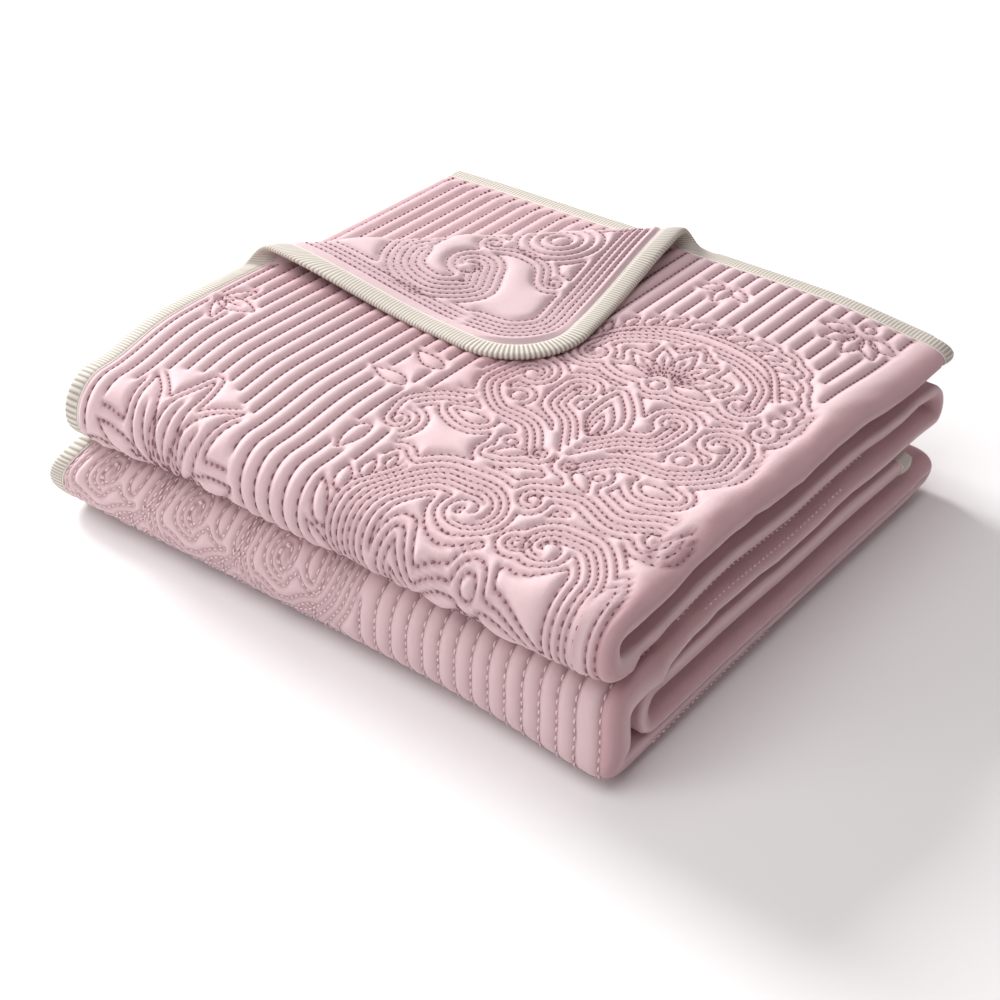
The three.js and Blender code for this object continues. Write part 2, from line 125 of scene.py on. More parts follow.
def plies(power):
    """Across: ply 1 on top ends in a quarter superellipse of that power down to the right
    crease, ply 2 returns at the bottom and ply 3 turns back between them at the left."""
    start, low = RIGHT_END - RIGHT_ROUND, -PLY_PITCH + CREASE_RADIUS
    out, up = power_of(turn(0, 0, 1, 1, 0, np.pi / 2), power).T
    edge = np.stack([start + RIGHT_ROUND * out, low + (PLY_PITCH - low) * up], 1)
    middle = RIGHT_END - CREASE_RADIUS
    crease = turn(middle, low, CREASE_RADIUS, CREASE_RADIUS, np.pi / 2, np.pi)
    return measured([
        run(0, PLY_PITCH, start, PLY_PITCH),
        np.concatenate([edge, crease]),
        run(middle, -PLY_PITCH, LEFT_FOLD, -PLY_PITCH),
        turn(LEFT_FOLD, -PLY_PITCH / 2, -PLY_PITCH / 2, PLY_PITCH / 2, np.pi, 0),
        np.concatenate([run(LEFT_FOLD, 0, INNER_HEM, 0), [(INNER_HEM, 0)]]),
    ], 1)


def fold_path():
    """Front to back: runs from one height to the next and turns of half a superellipse, as
    the middle ply follows them. Gives the curve and the lengths at which each leg lies."""
    parts = [np.array([(DEPTH + TAIL, LEGS[0][4])])]
    for _, side, y0, y1, z0, z1, reach, power in LEGS:
        if side:
            out, up = power_of(turn(0, 0, 1, 1, 0, np.pi), power).T
            z = (z0 + z1) / 2 + (z0 - z1) / 2 * up
            parts.append(np.stack([y0 + side * reach * out, z], 1))
        else:
            parts.append(run(y0, z0, y1, z1))
    y, z = LEGS[-1][3], LEGS[-1][5]
    parts.append(np.array([(y, z), (y + TAIL, z)]))
    travelled, points, facing, ends = measured(parts, -1)
    ends = ends - ends[0]
    leg_q = {leg[0]: pair for leg, pair in zip(LEGS, zip(ends, ends[1:]))}
    return (travelled - TAIL, points, facing), leg_q


FOLD, LEG_Q = fold_path()
PLIES = plies(ROUND_POWER)
S1, S2, S3, S4, S5 = (float(end) for end in PLIES[3])
SQUARE_PLIES = (PLIES[0], *plies(SQUARE_POWER)[1:3])

# leg at whose middle the right edge is squarer, how much, and over what length
SQUARE = [("front_upper", 0.6, 45.0), ("front_lower", 1.0, 80.0)]

# the turned-back corner: crease from A to B, lift and rounding of the corner, radius of the
# roll, length over which it settles and its gap over the ply below
A, B = np.array([0.0, 145.0]), np.array([218.0, DEPTH])
CORNER_LIFT, CORNER_RADIUS = 52.0, 48.0
ROLL, SETTLE, REST_GAP = 7.0, 95.0, 5.4
ALONG = (B - A) / np.linalg.norm(B - A)
BEYOND = np.array([-ALONG[1], ALONG[0]])
HEM_SLOPE = CORNER_LIFT / B[0]
HEM_SECANT = math.hypot(1, HEM_SLOPE)


def smooth(v, low, high):
    """0 below low, 1 above high, eased between by 3t^2 - 2t^3."""
    t = np.clip((v - low) / (high - low), 0, 1)
    return t * t * (3 - 2 * t)


def bell(v):
    """Bell of width 1: e to the power of minus v squared."""
    return np.exp(-v * v)


def settle(x, y, z):
    """The small unevenness of a settled stack, as bells, sines and eased steps added to a
    point; most of the underside stays flat. Gives metres in the shared frame."""
    t = np.clip(z / 100, 0, 1.3)
    left = 1 - x / WIDTH
    front = np.exp(-np.maximum(y, 0) / 60)
    right = np.exp(-np.maximum(WIDTH - x, 0) / 40)
    low = bell((z - 22) / 26)
    # the near left corner sinks, the far right one droops and the right side waves
    dz = -4 * bell(x / 70) * bell(y / 60) * t * t
    dz -= 8 * bell((WIDTH - x) / 46) * bell((DEPTH - y) / 75) * t**4
    dz += 2 * np.sin(2 * np.pi * y / 120 + 2.2) * right * t
    # the layers lie unevenly, sink at the near left and close up at the back
    dz += 1.3 * np.sin(x / 62 + 0.4) * np.sin(y / 75 + 1) * t
    dz += (1 - 9 * left) * bell((z - 58) / 24) * bell(y / 60) * smooth(z, 0, 20)
    back = smooth(y, 318, 352) * smooth(x, 60, WIDTH)
    dz += 7 * back * (bell((z - 10) / 25) - bell((z - 62) / 25))
    dz += 1.5 * bell(x / 30) * bell(z / 14)
    # the front waves; the lower layers stick out in front, at the right and at the near left,
    # where the top ply draws in
    dy = 2.5 * np.sin(x / 90 + 0.5) * front * t - (3 + 5 * left * left) * low * front
    dx = (6 * (1 - left) ** 3 - 13 * bell(x / 90) * front) * low
    dx += 5 * bell(x / 90) * bell((z - 92) / 22) * bell((y - 10) / 60)
    # the bulges spread towards the near right corner
    spread_out = front * bell((WIDTH - x) / 70) * (bell(z / 22) + 0.4 * bell((z - 62) / 14))
    dy -= 10 * spread_out
    dx += 3.6 * spread_out
    return (np.stack([x + dx, y + dy, z + dz], -1) - ORIGIN) * 0.001


def across(s, q):
    """Place and facing across the plies; the right edge is squarer at the front bulges."""
    point, facing = along(PLIES[:3], s)
    point[..., 0] += np.minimum(s, 0) + np.maximum(s - S5, 0)
    square_point, square_facing = along(SQUARE_PLIES, s)
    share = np.zeros(s.shape)
    for name, strength, width in SQUARE:
        share += strength * bell((q - sum(LEG_Q[name]) / 2) / width)
    share = np.where((s > S1) & (s < S2), share, 0)[..., None]
    facing = facing + (square_facing - facing) * share
    point = point + (square_point - point) * share
    return point, facing / np.linalg.norm(facing, axis=-1)[..., None]


def place(s, q, k):
    """Points of the comforter in metres: the plies lie side by side about the fold path, and
    the far corner of ply 1 rolls over a cylinder and settles on the ply it came from."""
    s, q, k = (np.asarray(v, float) for v in np.broadcast_arrays(s, q, k))
    ply, ply_facing = across(s, q)
    fold, fold_facing = along(FOLD, q)
    off = ply[..., 1] + k * ply_facing[..., 1]
    x = ply[..., 0] + k * ply_facing[..., 0]
    y = fold[..., 0] + off * fold_facing[..., 0]
    z = fold[..., 1] + off * fold_facing[..., 1]
    fx, fy = s - A[0], DEPTH - q - A[1]
    a, b = fx * ALONG[0] + fy * ALONG[1], fx * BEYOND[0] + fy * BEYOND[1]
    rolled = (b > 0) & (s < B[0] + 1) & (q < DEPTH)
    angle = np.clip(b / ROLL, 0, np.pi)
    over = np.maximum(b - np.pi * ROLL, 0)
    t = np.clip(over / SETTLE, 0, 1)
    fall = 2 * ROLL - REST_GAP
    slope = fall * 6 * t * (1 - t) / SETTLE
    size = np.hypot(1, slope)
    laid = over > 0
    back = ROLL * np.sin(angle) - over + np.where(laid, k * slope / size, -k * np.sin(angle))
    up = ROLL * (1 - np.cos(angle)) - fall * t * t * (3 - 2 * t)
    up = up + np.where(laid, -k / size, k * np.cos(angle))
    x = np.where(rolled, A[0] + a * ALONG[0] + back * BEYOND[0], x)
    y = np.where(rolled, A[1] + a * ALONG[1] + back * BEYOND[1], y)
    z = np.where(rolled, LEGS[0][4] + PLY_PITCH + up, z)
    return settle(x, y, z)


# The quilting is drawn on the flat sheet in millimetres, x from the left hem and y from the
# front edge of the stack: lines for the channels, scrolls, leaves, plumes and rings.

# gap between rows sewn side by side, and radius of the eye that a fan's leaves leave free
ROW_GAP, EYE = 4.2, 8.0

# spirals: power by which the radius falls, radius at the core, and turns and points of a curl
WIND = 0.85
VOLUTE_CORE, CURL_CORE, CURL_TURNS, CURL_STEPS = 2.5, 2.4, 1.35, 60


def curve(*points):
    """Smooth line through points: a cubic spline whose slope at each point is half the step
    between its neighbours, 14 steps a span."""
    p = np.array(points, float)
    p = np.concatenate([[2 * p[0] - p[1]], p, [2 * p[-1] - p[-2]]])
    t = np.linspace(0, 1, 15)[:, None]
    spans = [
        0.5 * (2 * b + (c - a) * t + (2 * a - 5 * b + 4 * c - d) * t**2
               + (3 * b - a - 3 * c + d) * t**3)
        for a, b, c, d in zip(p, p[1:], p[2:], p[3:])
    ]
    return np.concatenate([span[:-1] for span in spans] + [spans[-1][-1:]])


def echo(line, gap):
    """The line moved sideways by gap, to its left where gap is positive."""
    step = np.gradient(line, axis=0)
    step /= np.linalg.norm(step, axis=1)[:, None] + 1e-9
    return line + gap * np.stack([-step[:, 1], step[:, 0]], 1)


def stem(points, *rows):
    """Curve sewn once, and again some rows to its left."""
    line = curve(*points)
    return [line] + [echo(line, row * ROW_GAP) for row in rows]


def volute(x, y, radius, turns, start):
    """Spiral whose radius falls by a power of its turn, with a shorter row inside its sweep."""
    t = np.linspace(0, 1, int(50 * turns) + 10)
    r = radius + (VOLUTE_CORE - radius) * t**WIND
    angle = math.radians(start) + 2 * np.pi * turns * t
    line = np.stack([x + r * np.cos(angle), y + r * np.sin(angle)], 1)
    return [line, echo(line, ROW_GAP)[: int(0.7 * len(line))]]


def ring(x, y, rx, ry=None, turned=0):
    """Ellipse about x, y, its first axis turned by some degrees."""
    t = np.linspace(0, 2 * np.pi, 40)
    a = math.radians(turned)
    first, second = np.array([math.cos(a), math.sin(a)]), np.array([-math.sin(a), math.cos(a)])
    return (x, y) + rx * np.cos(t)[:, None] * first + (ry or rx) * np.sin(t)[:, None] * second


def leaf(x, y, angle, length, width, bend=0.0, vein=False):
    """Pointed leaf from its stalk at x, y: two sides that swell by a sine, and a half vein.
    bend curls its tip sideways by that share of its length."""
    t = np.linspace(0, 1, 22)
    middle = np.stack([length * t, bend * length * t**2], 1)
    side = np.stack([0 * t, width / 2 * np.sin(np.pi * t**0.8) ** 0.9], 1)
    lines = [np.concatenate([middle + side, (middle - side)[::-1]])]
    if vein:
        lines.append(middle[2:14])
    a = math.radians(angle)
    turned = np.array([[math.cos(a), math.sin(a)], [-math.sin(a), math.cos(a)]])
    return [line @ turned + (x, y) for line in lines]


def fan(x, y, angle, length, width, petals, spread_angle, vein=True):
    """Leaves that spread evenly about angle round an eye, the outer ones shorter and bent."""
    lines = []
    for i in range(petals):
        t = 2 * i / (petals - 1) - 1
        way = angle + t * spread_angle / 2
        foot = x + EYE * math.cos(math.radians(way)), y + EYE * math.sin(math.radians(way))
        reach = (length - EYE) * (1 - 0.22 * t * t)
        lines += leaf(*foot, way, reach, width, 0.28 * t, vein and abs(t) < 0.8)
    return lines


def plume(points, size, count):
    """Feather: a double stem with lobes along one side, the longest about its middle."""
    line = curve(*points)
    lines = [line, echo(line, -ROW_GAP)]
    for i in range(count):
        t = (i + 0.5) / count
        n = int(t * (len(line) - 2))
        way = math.degrees(math.atan2(*(line[n + 1] - line[n])[::-1]))
        length = size * (0.55 + 0.45 * math.sin(math.pi * t))
        lines += leaf(*line[n], way + 52, length, 0.46 * length, -0.22)
    return lines


def drop(x, y, angle, length, width, rows=2):
    """Bent drops one inside another."""
    lines = []
    for i in range(rows):
        lines += leaf(x, y, angle, length * (1 - 0.26 * i), width * (1 - 0.36 * i), 0.25)
    return lines


def crescent(x, y, radius, angle, swing, depth):
    """Lens between two arcs over the same chord."""
    t = np.linspace(-1, 1, 26)
    a = math.radians(angle) + t * math.radians(swing) / 2
    inner = radius - depth * (1 - t * t)
    way = np.stack([np.cos(a), np.sin(a)], 1)
    return [radius * way + (x, y), inner[:, None] * way + (x, y)]


def curl(line, radius):
    """Spiral that carries a line on from its end, to its left where radius is positive; its
    radius falls to the core by a power of its turn."""
    way = line[-1] - line[-2]
    way /= np.linalg.norm(way)
    hand, size = math.copysign(1, radius), abs(radius)
    centre = line[-1] + radius * np.array([-way[1], way[0]])
    t = np.linspace(0, 1, CURL_STEPS)
    angle = math.atan2(*(line[-1] - centre)[::-1]) + hand * 2 * np.pi * CURL_TURNS * t
    r = size + (CURL_CORE - size) * t**WIND
    return centre + np.stack([r * np.cos(angle), r * np.sin(angle)], 1)


def flourish(points, first=0, last=0, rows=3, gap=ROW_GAP):
    """Scroll: a curve whose ends wind up into spirals of radius first and last, with rows
    beside it that go a little way into the spirals and stop short of plain ends."""
    line = curve(*points)
    span = len(line)
    if last:
        line = np.concatenate([line, curl(line, last)])
    if first:
        line = np.concatenate([line[::-1], curl(line[::-1], first)])[::-1]
    lines = [line]
    begin = CURL_STEPS if first else 0
    side = math.copysign(gap, last or -first)
    for i in range(1, rows):
        into, short = 34 - 9 * i, 3 * i
        low = begin - into if first else begin + short
        high = begin + span + (into if last else -short)
        lines.append(echo(line, side * i)[low:high])
    return lines


def mirrored(x, lines):
    """Lines with their likeness on the other side of x."""
    return lines + [line * (-1, 1) + (2 * x, 0) for line in lines]


def pattern_top():
    """Scrollwork of the top ply, drawn from the front edge to the far hem."""
    lines, heart = [], 291
    # medallion, front: two great scrolls that turn towards each other over a spray
    lines += flourish([(240, -52), (222, -22), (224, 20), (244, 52), (276, 58)], 0, -25, 4)
    lines += flourish([(368, -46), (376, -14), (374, 22), (356, 46), (334, 48)], 0, 17, 3)
    lines += fan(310, -4, -92, 50, 13, 5, 112) + [ring(310, -1, 5)]
    lines += plume([(228, -40), (214, -16), (213, 14), (226, 44)], 20, 7)
    lines += flourish([(300, 66), (324, 74), (350, 66), (371, 74)], 9, -9, 2)
    lines += [ring(318, 26, 6.5), ring(318, 26, 3), ring(300, -22, 3)] + drop(258, -34, 75, 36, 18, 2)
    # medallion, heart: scrolls back to back about a drop
    lines += mirrored(
        heart, flourish([(275, 88), (258, 108), (232, 112), (212, 132), (214, 158)], 6.5, -14, 3))
    lines += mirrored(heart, flourish([(288, 100), (272, 124), (255, 136), (252, 158)], 0, -9, 3))
    lines += drop(heart, 122, 90, 46, 21, 3)
    lines += mirrored(heart, leaf(276, 88, 196, 20, 9, 0.3) + leaf(240, 100, 200, 22, 10, -0.3))
    lines += mirrored(heart, [ring(236, 132, 5), ring(262, 92, 3.4)])
    # medallion, far side: an arch of scrolls and plumes about a spray
    lines += mirrored(heart, flourish([(290, 244), (262, 240), (238, 224), (230, 202)], 0, 12, 3))
    lines += plume([(226, 206), (240, 234), (268, 252), (300, 255), (334, 244), (356, 214)], 18, 13)
    lines += fan(heart, 190, 90, 40, 12, 7, 150) + [ring(heart, 188, 5)]
    lines += [ring(366, y, r) for y, r in ((196, 4.5), (182, 3), (208, 3))]
    # leaves and scrolls that reach from the medallion into the channels
    lines += flourish([(216, 118), (198, 108), (186, 90), (190, 70)], 0, 9, 2)
    lines += flourish([(206, 168), (192, 180), (188, 198), (200, 210)], 8, -8, 2)
    for x, y, angle, bend in ((190, 60, -110, 0.2), (178, 100, 160, 0.2), (184, 128, 176, -0.2)):
        lines += leaf(x, y, angle, 26, 11, bend)
    lines += fan(352, 322, -90, 32, 11, 5, 110, False) + [ring(352, 324, 4)]
    # near the left hem: a spray over the front fold, lenses on the roll, an eyed leaf, buds
    lines += crescent(136, -56, 40, 70, 70, 11) + crescent(166, -56, 36, 84, 64, 10)
    lines += crescent(30, -52, 40, 80, 60, 12)
    lines += leaf(22, 108, 0, 30, 15, 0, True)
    lines += leaf(22, 108, 42, 24, 9, 0.3) + leaf(22, 108, -42, 24, 9, -0.3)
    lines += fan(262, 318, -90, 28, 9, 3, 70, False)
    return lines


def pattern_spray():
    """Spray near the left hem that opens over the front fold."""
    lines = fan(84, -38, 88, 78, 17, 5, 92) + fan(84, -38, 88, 46, 8, 4, 70, False)
    return lines + mirrored(84, flourish([(82, -44), (66, -38), (54, -20)], 0, 7, 2))


def pattern_flap():
    """Scrollwork of the corner that is turned back: two broad scrolls and an oval one."""
    lines = flourish([(92, 246), (62, 232), (32, 248), (26, 284), (50, 310), (76, 300)], 0, -17, 5, 4.6)
    lines += [ring(128, 308, 7 * i, 5.6 * i, 35) for i in range(1, 5)]
    lines += stem([(18.5, 326), (25, 354), (48, 370), (80, 363.5), (120, 354), (178, 340)], -1, -2, -3)
    lines += stem([(19, 184), (19.5, 210), (19, 240), (18.5, 320)], -1, -2)
    lines += flourish([(84, 330), (98, 318), (100, 298), (92, 282)], -7, 7, 2)
    lines += flourish([(60, 214), (84, 226), (104, 246), (120, 276)], 0, -5, 3)
    lines += stem([(158, 318), (172, 330), (192, 336)], 1)
    return lines


# outlines within which the top ply has no channels, and the flap's part with rows all round
MEDALLION = curve(
    (214, -60), (204, -20), (204, 20), (212, 52), (200, 74), (196, 92), (206, 112), (200, 150),
    (204, 190), (222, 226), (262, 258), (310, 268), (352, 262), (376, 226), (392, 190), (400, 60),
    (392, -60), (300, -64), (214, -60))
SPRAY_PANEL = [
    (50, -66), (32, -30), (30, 4), (58, 38), (86, 48), (112, 38), (138, 4), (134, -30), (118, -66)]
FLAP = [(0, 165), (12, 165), (180, 323), (180, 400), (0, 400)]
FLAP_PANEL = [(17, 176), (188, 336), (150, 347), (90, 362), (48, 372), (23, 354), (17, 326)]


def pattern_front():
    """Scrollwork of the lower front bulge, its y down from the bulge's upper edge."""
    lines = []
    for x in (30, 98, 166):
        lines += flourish([(x - 10, 62), (x - 16, 36), (x - 6, 10), (x + 16, 2), (x + 36, 12)], 0, -15)
        lines += flourish([(x + 48, 6), (x + 50, 34), (x + 34, 56), (x + 8, 64)], 0, -10, 2)
        lines += volute(x + 12, 34, 11, 1.6, 90) + leaf(x + 34, 40, 250, 20, 9, 0.2)
        lines += leaf(x + 20, 74, -64, 28, 11, 0.2) + leaf(x + 6, 76, 250, 24, 10, -0.2)
        lines.append(ring(x + 44, 74, 5))
    return lines


FRONT_PANEL = [(0, -30), (232, -30), (238, 14), (238, 30), (222, 60), (222, 110), (0, 110)]

# the maps of distance to the sewing: near and far reach, size of a cell
NEAR, REACH, CELL = 5.5, 13.0, 0.5


def stitch_map(lines, low, high, cell=CELL):
    """Distance in millimetres from each cell of a flat region to the nearest sewn line, at
    most REACH; every fourth point of a line serves for what is farther than NEAR."""
    shape = [int((b - a) / cell) + 1 for a, b in zip(low, high)]
    field = np.full(shape, REACH)
    for reach, every in ((NEAR, 1), (REACH, 4)):
        n = int(reach / cell)
        for s, q in np.concatenate([line[::every] for line in lines]):
            i, j = int((s - low[0]) / cell), int((q - low[1]) / cell)
            i0, i1 = max(i - n, 0), min(i + n + 2, shape[0])
            j0, j1 = max(j - n, 0), min(j + n + 2, shape[1])
            if i0 >= i1 or j0 >= j1:
                continue
            di = low[0] + cell * np.arange(i0, i1) - s
            dj = low[1] + cell * np.arange(j0, j1) - q
            d = np.sqrt(di[:, None] ** 2 + dj[None] ** 2)
            np.minimum(field[i0:i1, j0:j1], d, out=field[i0:i1, j0:j1])
    return {"low": low, "high": high, "cell": cell, "field": field}


def within(x, y, outline):
    """Whether points lie inside a closed outline: its edges to the right cross an odd number
    of times."""
    odd = np.zeros(np.shape(y), bool)
    for (x0, y0), (x1, y1) in zip(outline, [*outline[1:], outline[0]]):
        if y0 != y1:
            odd ^= ((y0 > y) != (y1 > y)) & (x < x0 + (y - y0) * (x1 - x0) / (y1 - y0))
    return odd


def crossings(field, level):
    """Short pieces of the line on which a field of distances crosses a level: for each square
    of cells, the pairs of its sides that the line cuts, and the place of the cut on them."""
    cuts, pieces = {}, {}
    inside = field < level
    for axis, (di, dj) in enumerate(((1, 0), (0, 1))):
        a, b = inside[: -di or None, : -dj or None], inside[di:, dj:]
        for i, j in np.argwhere(a != b):
            share = (level - field[i, j]) / (field[i + di, j + dj] - field[i, j])
            cuts[axis, i, j] = (i + di * share, j + dj * share)
    for axis, i, j in cuts:
        squares = [(i, j), (i, j - 1)] if axis == 0 else [(i, j), (i - 1, j)]
        for square in squares:
            pieces.setdefault(square, []).append((axis, i, j))
    return cuts, pieces


def unbroken(free, shortest):
    """Pairs of start and end of the runs of points that are free and longer than shortest."""
    ends = np.flatnonzero(np.diff(np.concatenate([[0], free, [0]])))
    return [(a, b) for a, b in zip(ends[::2], ends[1::2]) if b - a > shortest]


# rows round the motifs: shortest one in points, and how often its steps are evened out
SHORTEST_ROW, SMOOTHINGS = 24, 6


def echo_rows(field, level, low, outline):
    """Rows sewn at one distance all round the motifs, inside an outline: the level line of
    the field of distances to them, followed from square to square of its cells."""
    cuts, pieces = crossings(field, level)
    links = {}
    for sides in pieces.values():
        for a, b in zip(sides[::2], sides[1::2]):
            links.setdefault(a, []).append(b)
            links.setdefault(b, []).append(a)
    rows, seen = [], set()
    for first in sorted(links, key=lambda cut: len(links[cut])):
        if first in seen:
            continue
        row, at = [], first
        while at is not None:
            seen.add(at)
            row.append(cuts[at])
            at = next((other for other in links[at] if other not in seen), None)
        row = np.array(row) + low
        for _ in range(SMOOTHINGS):
            row[1:-1] = (row[:-2] + 2 * row[1:-1] + row[2:]) / 4
        free = within(row[:, 0], row[:, 1], outline)
        rows += [row[a:b] for a, b in unbroken(free, SHORTEST_ROW)]
    return rows


# the straight channels: how near they come to a motif, and the shortest in millimetres
CHANNEL_GAP, SHORTEST_CHANNEL = 4.2, 12


def channels(xs, low, high, lines, outlines):
    """Straight sewn rows from front to back at each x, broken where they meet a motif's lines
    or run into an outline."""
    motif = np.concatenate([*lines, np.full((1, 2), np.inf)])
    rows = []
    y = np.arange(low, high, 1.0)
    for x in xs:
        near = motif[np.abs(motif[:, 0] - x) < CHANNEL_GAP]
        reach = np.sqrt(CHANNEL_GAP**2 - (near[:, 0] - x) ** 2)
        free = ~(np.abs(y[:, None] - near[:, 1]) < reach).any(axis=1)
        for outline in outlines:
            free &= ~within(x, y, outline)
        rows += [np.stack([np.full(b - a, x), y[a:b]], 1) for a, b in unbroken(free, SHORTEST_CHANNEL)]
    return rows


def even(line):
    """The line in even steps of about a millimetre."""
    travelled = lengths(line)
    at = np.linspace(0, travelled[-1], max(int(travelled[-1]), 2) + 1)
    return at_lengths(at, travelled, line)


def laid_from(q, direction, lines):
    """Lines in even steps as points (s, q), their y counted from length q."""
    return [np.stack([p[:, 0], q + direction * p[:, 1]], 1) for p in map(even, lines)]


def echoed(motifs, levels, low, high, outline):
    """Motifs in even steps with rows sewn round them at each of the levels."""
    motifs = [even(line) for line in motifs]
    field = stitch_map(motifs, low, high, 1.0)["field"]
    rows = [even(row) for level in levels for row in echo_rows(field, level, low, outline)]
    return motifs + rows


# The straight channels: pitch, first one, and where they start on the roll of the front fold.
# Rows go round the motifs once or twice, at these distances.
RIB_PITCH, RIB_START = 10.8, 18.5
rib_x = RIB_START + RIB_PITCH * np.arange(34)
q_roll, q_low = LEG_Q["front_upper"], LEG_Q["front_lower"]
FRONT_END = DEPTH - q_roll[1] + 4
ONCE, TWICE = (5.2,), (5.2, 10.4)

top_motifs = echoed(pattern_top(), TWICE, (190, -64), (WIDTH + 6, 280), MEDALLION)
top_motifs += echoed(pattern_flap(), ONCE, (0, 160), (200, 390), FLAP_PANEL)
top_motifs += echoed(pattern_spray(), ONCE, (20, -70), (150, 60), SPRAY_PANEL)
ribs = channels(rib_x, FRONT_END, DEPTH + 38, top_motifs, [MEDALLION, FLAP, SPRAY_PANEL])
motif_lines, channel_lines = laid_from(DEPTH, -1, top_motifs), laid_from(DEPTH, -1, ribs)

front_motifs = echoed(pattern_front(), TWICE, (-10, -30), (250, 110), FRONT_PANEL)
front_ribs = channels([*rib_x, rib_x[-1] + RIB_PITCH], -6, 112, front_motifs, [FRONT_PANEL])
front_lines = laid_from(q_low[0] - 10, 1, front_motifs + front_ribs)

# on ply 3, which shows where the corner is turned back: channels, a spiral and a spray
under_motifs = volute(70, 196, 20, 1.8, 30) + fan(110, 190, 60, 40, 12, 5, 120)
under_lines = channels(S4 + 3 + RIB_PITCH * np.arange(21), 130, DEPTH - 2, [], [])
under_lines = laid_from(DEPTH, -1, under_lines + [line + (S4, 0) for line in under_motifs])

# rows of small stitches down the right turn: place across, from and to along the fold
second, third = LEG_Q["second"][0], LEG_Q["third"][1]
side_lines = [
    even(np.array([(s, q0), (s, q1)])) for s, q0, q1 in (
        (S1 + 19, q_low[1] + 8, q_low[1] + 120), (S1 + 15, second - 30, second + 160),
        (S1 + 15, third - 130, third + 10))
]

maps = [
    stitch_map(motif_lines + channel_lines, (-8, -60), (WIDTH + 6, q_roll[1] + 6)),
    stitch_map(front_lines, (-8, q_low[0] - 24), (WIDTH + 12, q_low[1] + 70)),
    stitch_map(under_lines, (S4 - 4, -14), (S4 + 236, 224)),
]


def sewn_distance(s, q):
    """Distance to the nearest sewn line at flat points, by bilinear steps, and how far the
    point is inside a map: 0 off the maps and 1 from 6 mm inside one."""
    out, inside = np.full(s.shape, REACH), np.zeros(s.shape)
    for m in maps:
        (s0, q0), (s1, q1) = m["low"], m["high"]
        u, v = (s - s0) / m["cell"], (q - q0) / m["cell"]
        nu, nv = m["field"].shape
        here = (u >= 0) & (v >= 0) & (u < nu - 1) & (v < nv - 1)
        i, j = u[here].astype(int), v[here].astype(int)
        fu, fv, f = u[here] - i, v[here] - j, m["field"]
        out[here] = ((1 - fu) * (1 - fv) * f[i, j] + fu * (1 - fv) * f[i + 1, j]
                     + (1 - fu) * fv * f[i, j + 1] + fu * fv * f[i + 1, j + 1])
        margin = np.minimum(np.minimum(s - s0, s1 - s), np.minimum(q - q0, q1 - q))
        inside[here] = smooth(margin[here], 0, 6)
    return out, inside


def puff(distance):
    """Height of the quilted cloth over its sewn lines: a sine's power up to half a channel,
    and a slower swell over the wide plain places."""
    swell = np.sin(np.pi / 2 * np.clip(distance / REACH, 0, 1))
    return np.sin(np.pi * np.clip(distance / RIB_PITCH, 0, 0.5)) ** 0.75 + 0.45 * swell


def beyond_crease(s, q):
    """Distance of flat points past the crease over which the corner rolls."""
    return (s - A[0]) * BEYOND[0] + (DEPTH - q - A[1]) * BEYOND[1]


# The line inside the hem at which the cloth begins to thin: at the far side an arc round the
# corner, a slanted part where the corner is lifted, then a straight part that draws in by some
# millimetres between two places across.
ARC = CORNER_RADIUS - BORDER_INSET
ARC_Q = -CORNER_LIFT + CORNER_RADIUS * (HEM_SLOPE + HEM_SECANT)
ARC_END = CORNER_RADIUS + ARC * HEM_SLOPE / HEM_SECANT
LINE_Q = -CORNER_LIFT + BORDER_INSET * HEM_SECANT
BEND = (BORDER_INSET - LINE_Q) / HEM_SLOPE
CREASE_SLOPE = ALONG[1] / ALONG[0]
MEETING = (DEPTH - A[1] - LINE_Q) / (HEM_SLOPE + CREASE_SLOPE)
END_Q = LEG_Q["fourth"][1] - BORDER_INSET
DRAWN_IN = ((4, S1 - 30, S2 + 30), (5, S3 - 50, S4 + 50))


def far_border(s):
    """q of that line at the far side: an arc, the slant of the lifted corner, then straight."""
    s = np.asarray(s, float)
    arc = ARC_Q - np.sqrt(np.maximum(ARC**2 - (s - CORNER_RADIUS) ** 2, 0))
    rest = BORDER_INSET - sum(depth * smooth(s, low, high) for depth, low, high in DRAWN_IN)
    return np.where(s < ARC_END, arc, np.where(s < BEND, LINE_Q + HEM_SLOPE * s, rest))


def crease_q(s):
    """q of the crease at s, on its straight line through A and B."""
    return DEPTH - A[1] - CREASE_SLOPE * np.asarray(s, float)


def far_normal(s):
    """Step of length 1 from the far border out to the hem."""
    if s < ARC_END:
        v = np.array([s - CORNER_RADIUS, float(far_border(s)) - ARC_Q])
        return v / np.linalg.norm(v)
    if s < BEND:
        return np.array([HEM_SLOPE, -1]) / HEM_SECANT
    return np.array([0.0, -1.0])


def outward(normal, s, q):
    """Step out to the hem, turned along the crease where the cloth rolls."""
    if s > B[0] + 40:
        return normal
    b = beyond_crease(s, q)
    # from 32 mm before the crease to 60 mm past it
    near = smooth(b, -32, -8) * (1 - smooth(b, 34, 60))
    tangent = np.array([-normal[1], normal[0]])
    sideways = ALONG[0] * tangent[0] - ALONG[1] * tangent[1]
    out = ALONG[0] * normal[0] - ALONG[1] * normal[1]
    return normal + near * sideways / out * tangent


# height of the quilting, where it ends over the floor, and height of the rucks at the right turn
RELIEF, RUCK = 2.4, 0.45
FLOOR_Q = q_low[0] + 0.55 * (q_low[1] - q_low[0])
FLOOR_FADE = 18


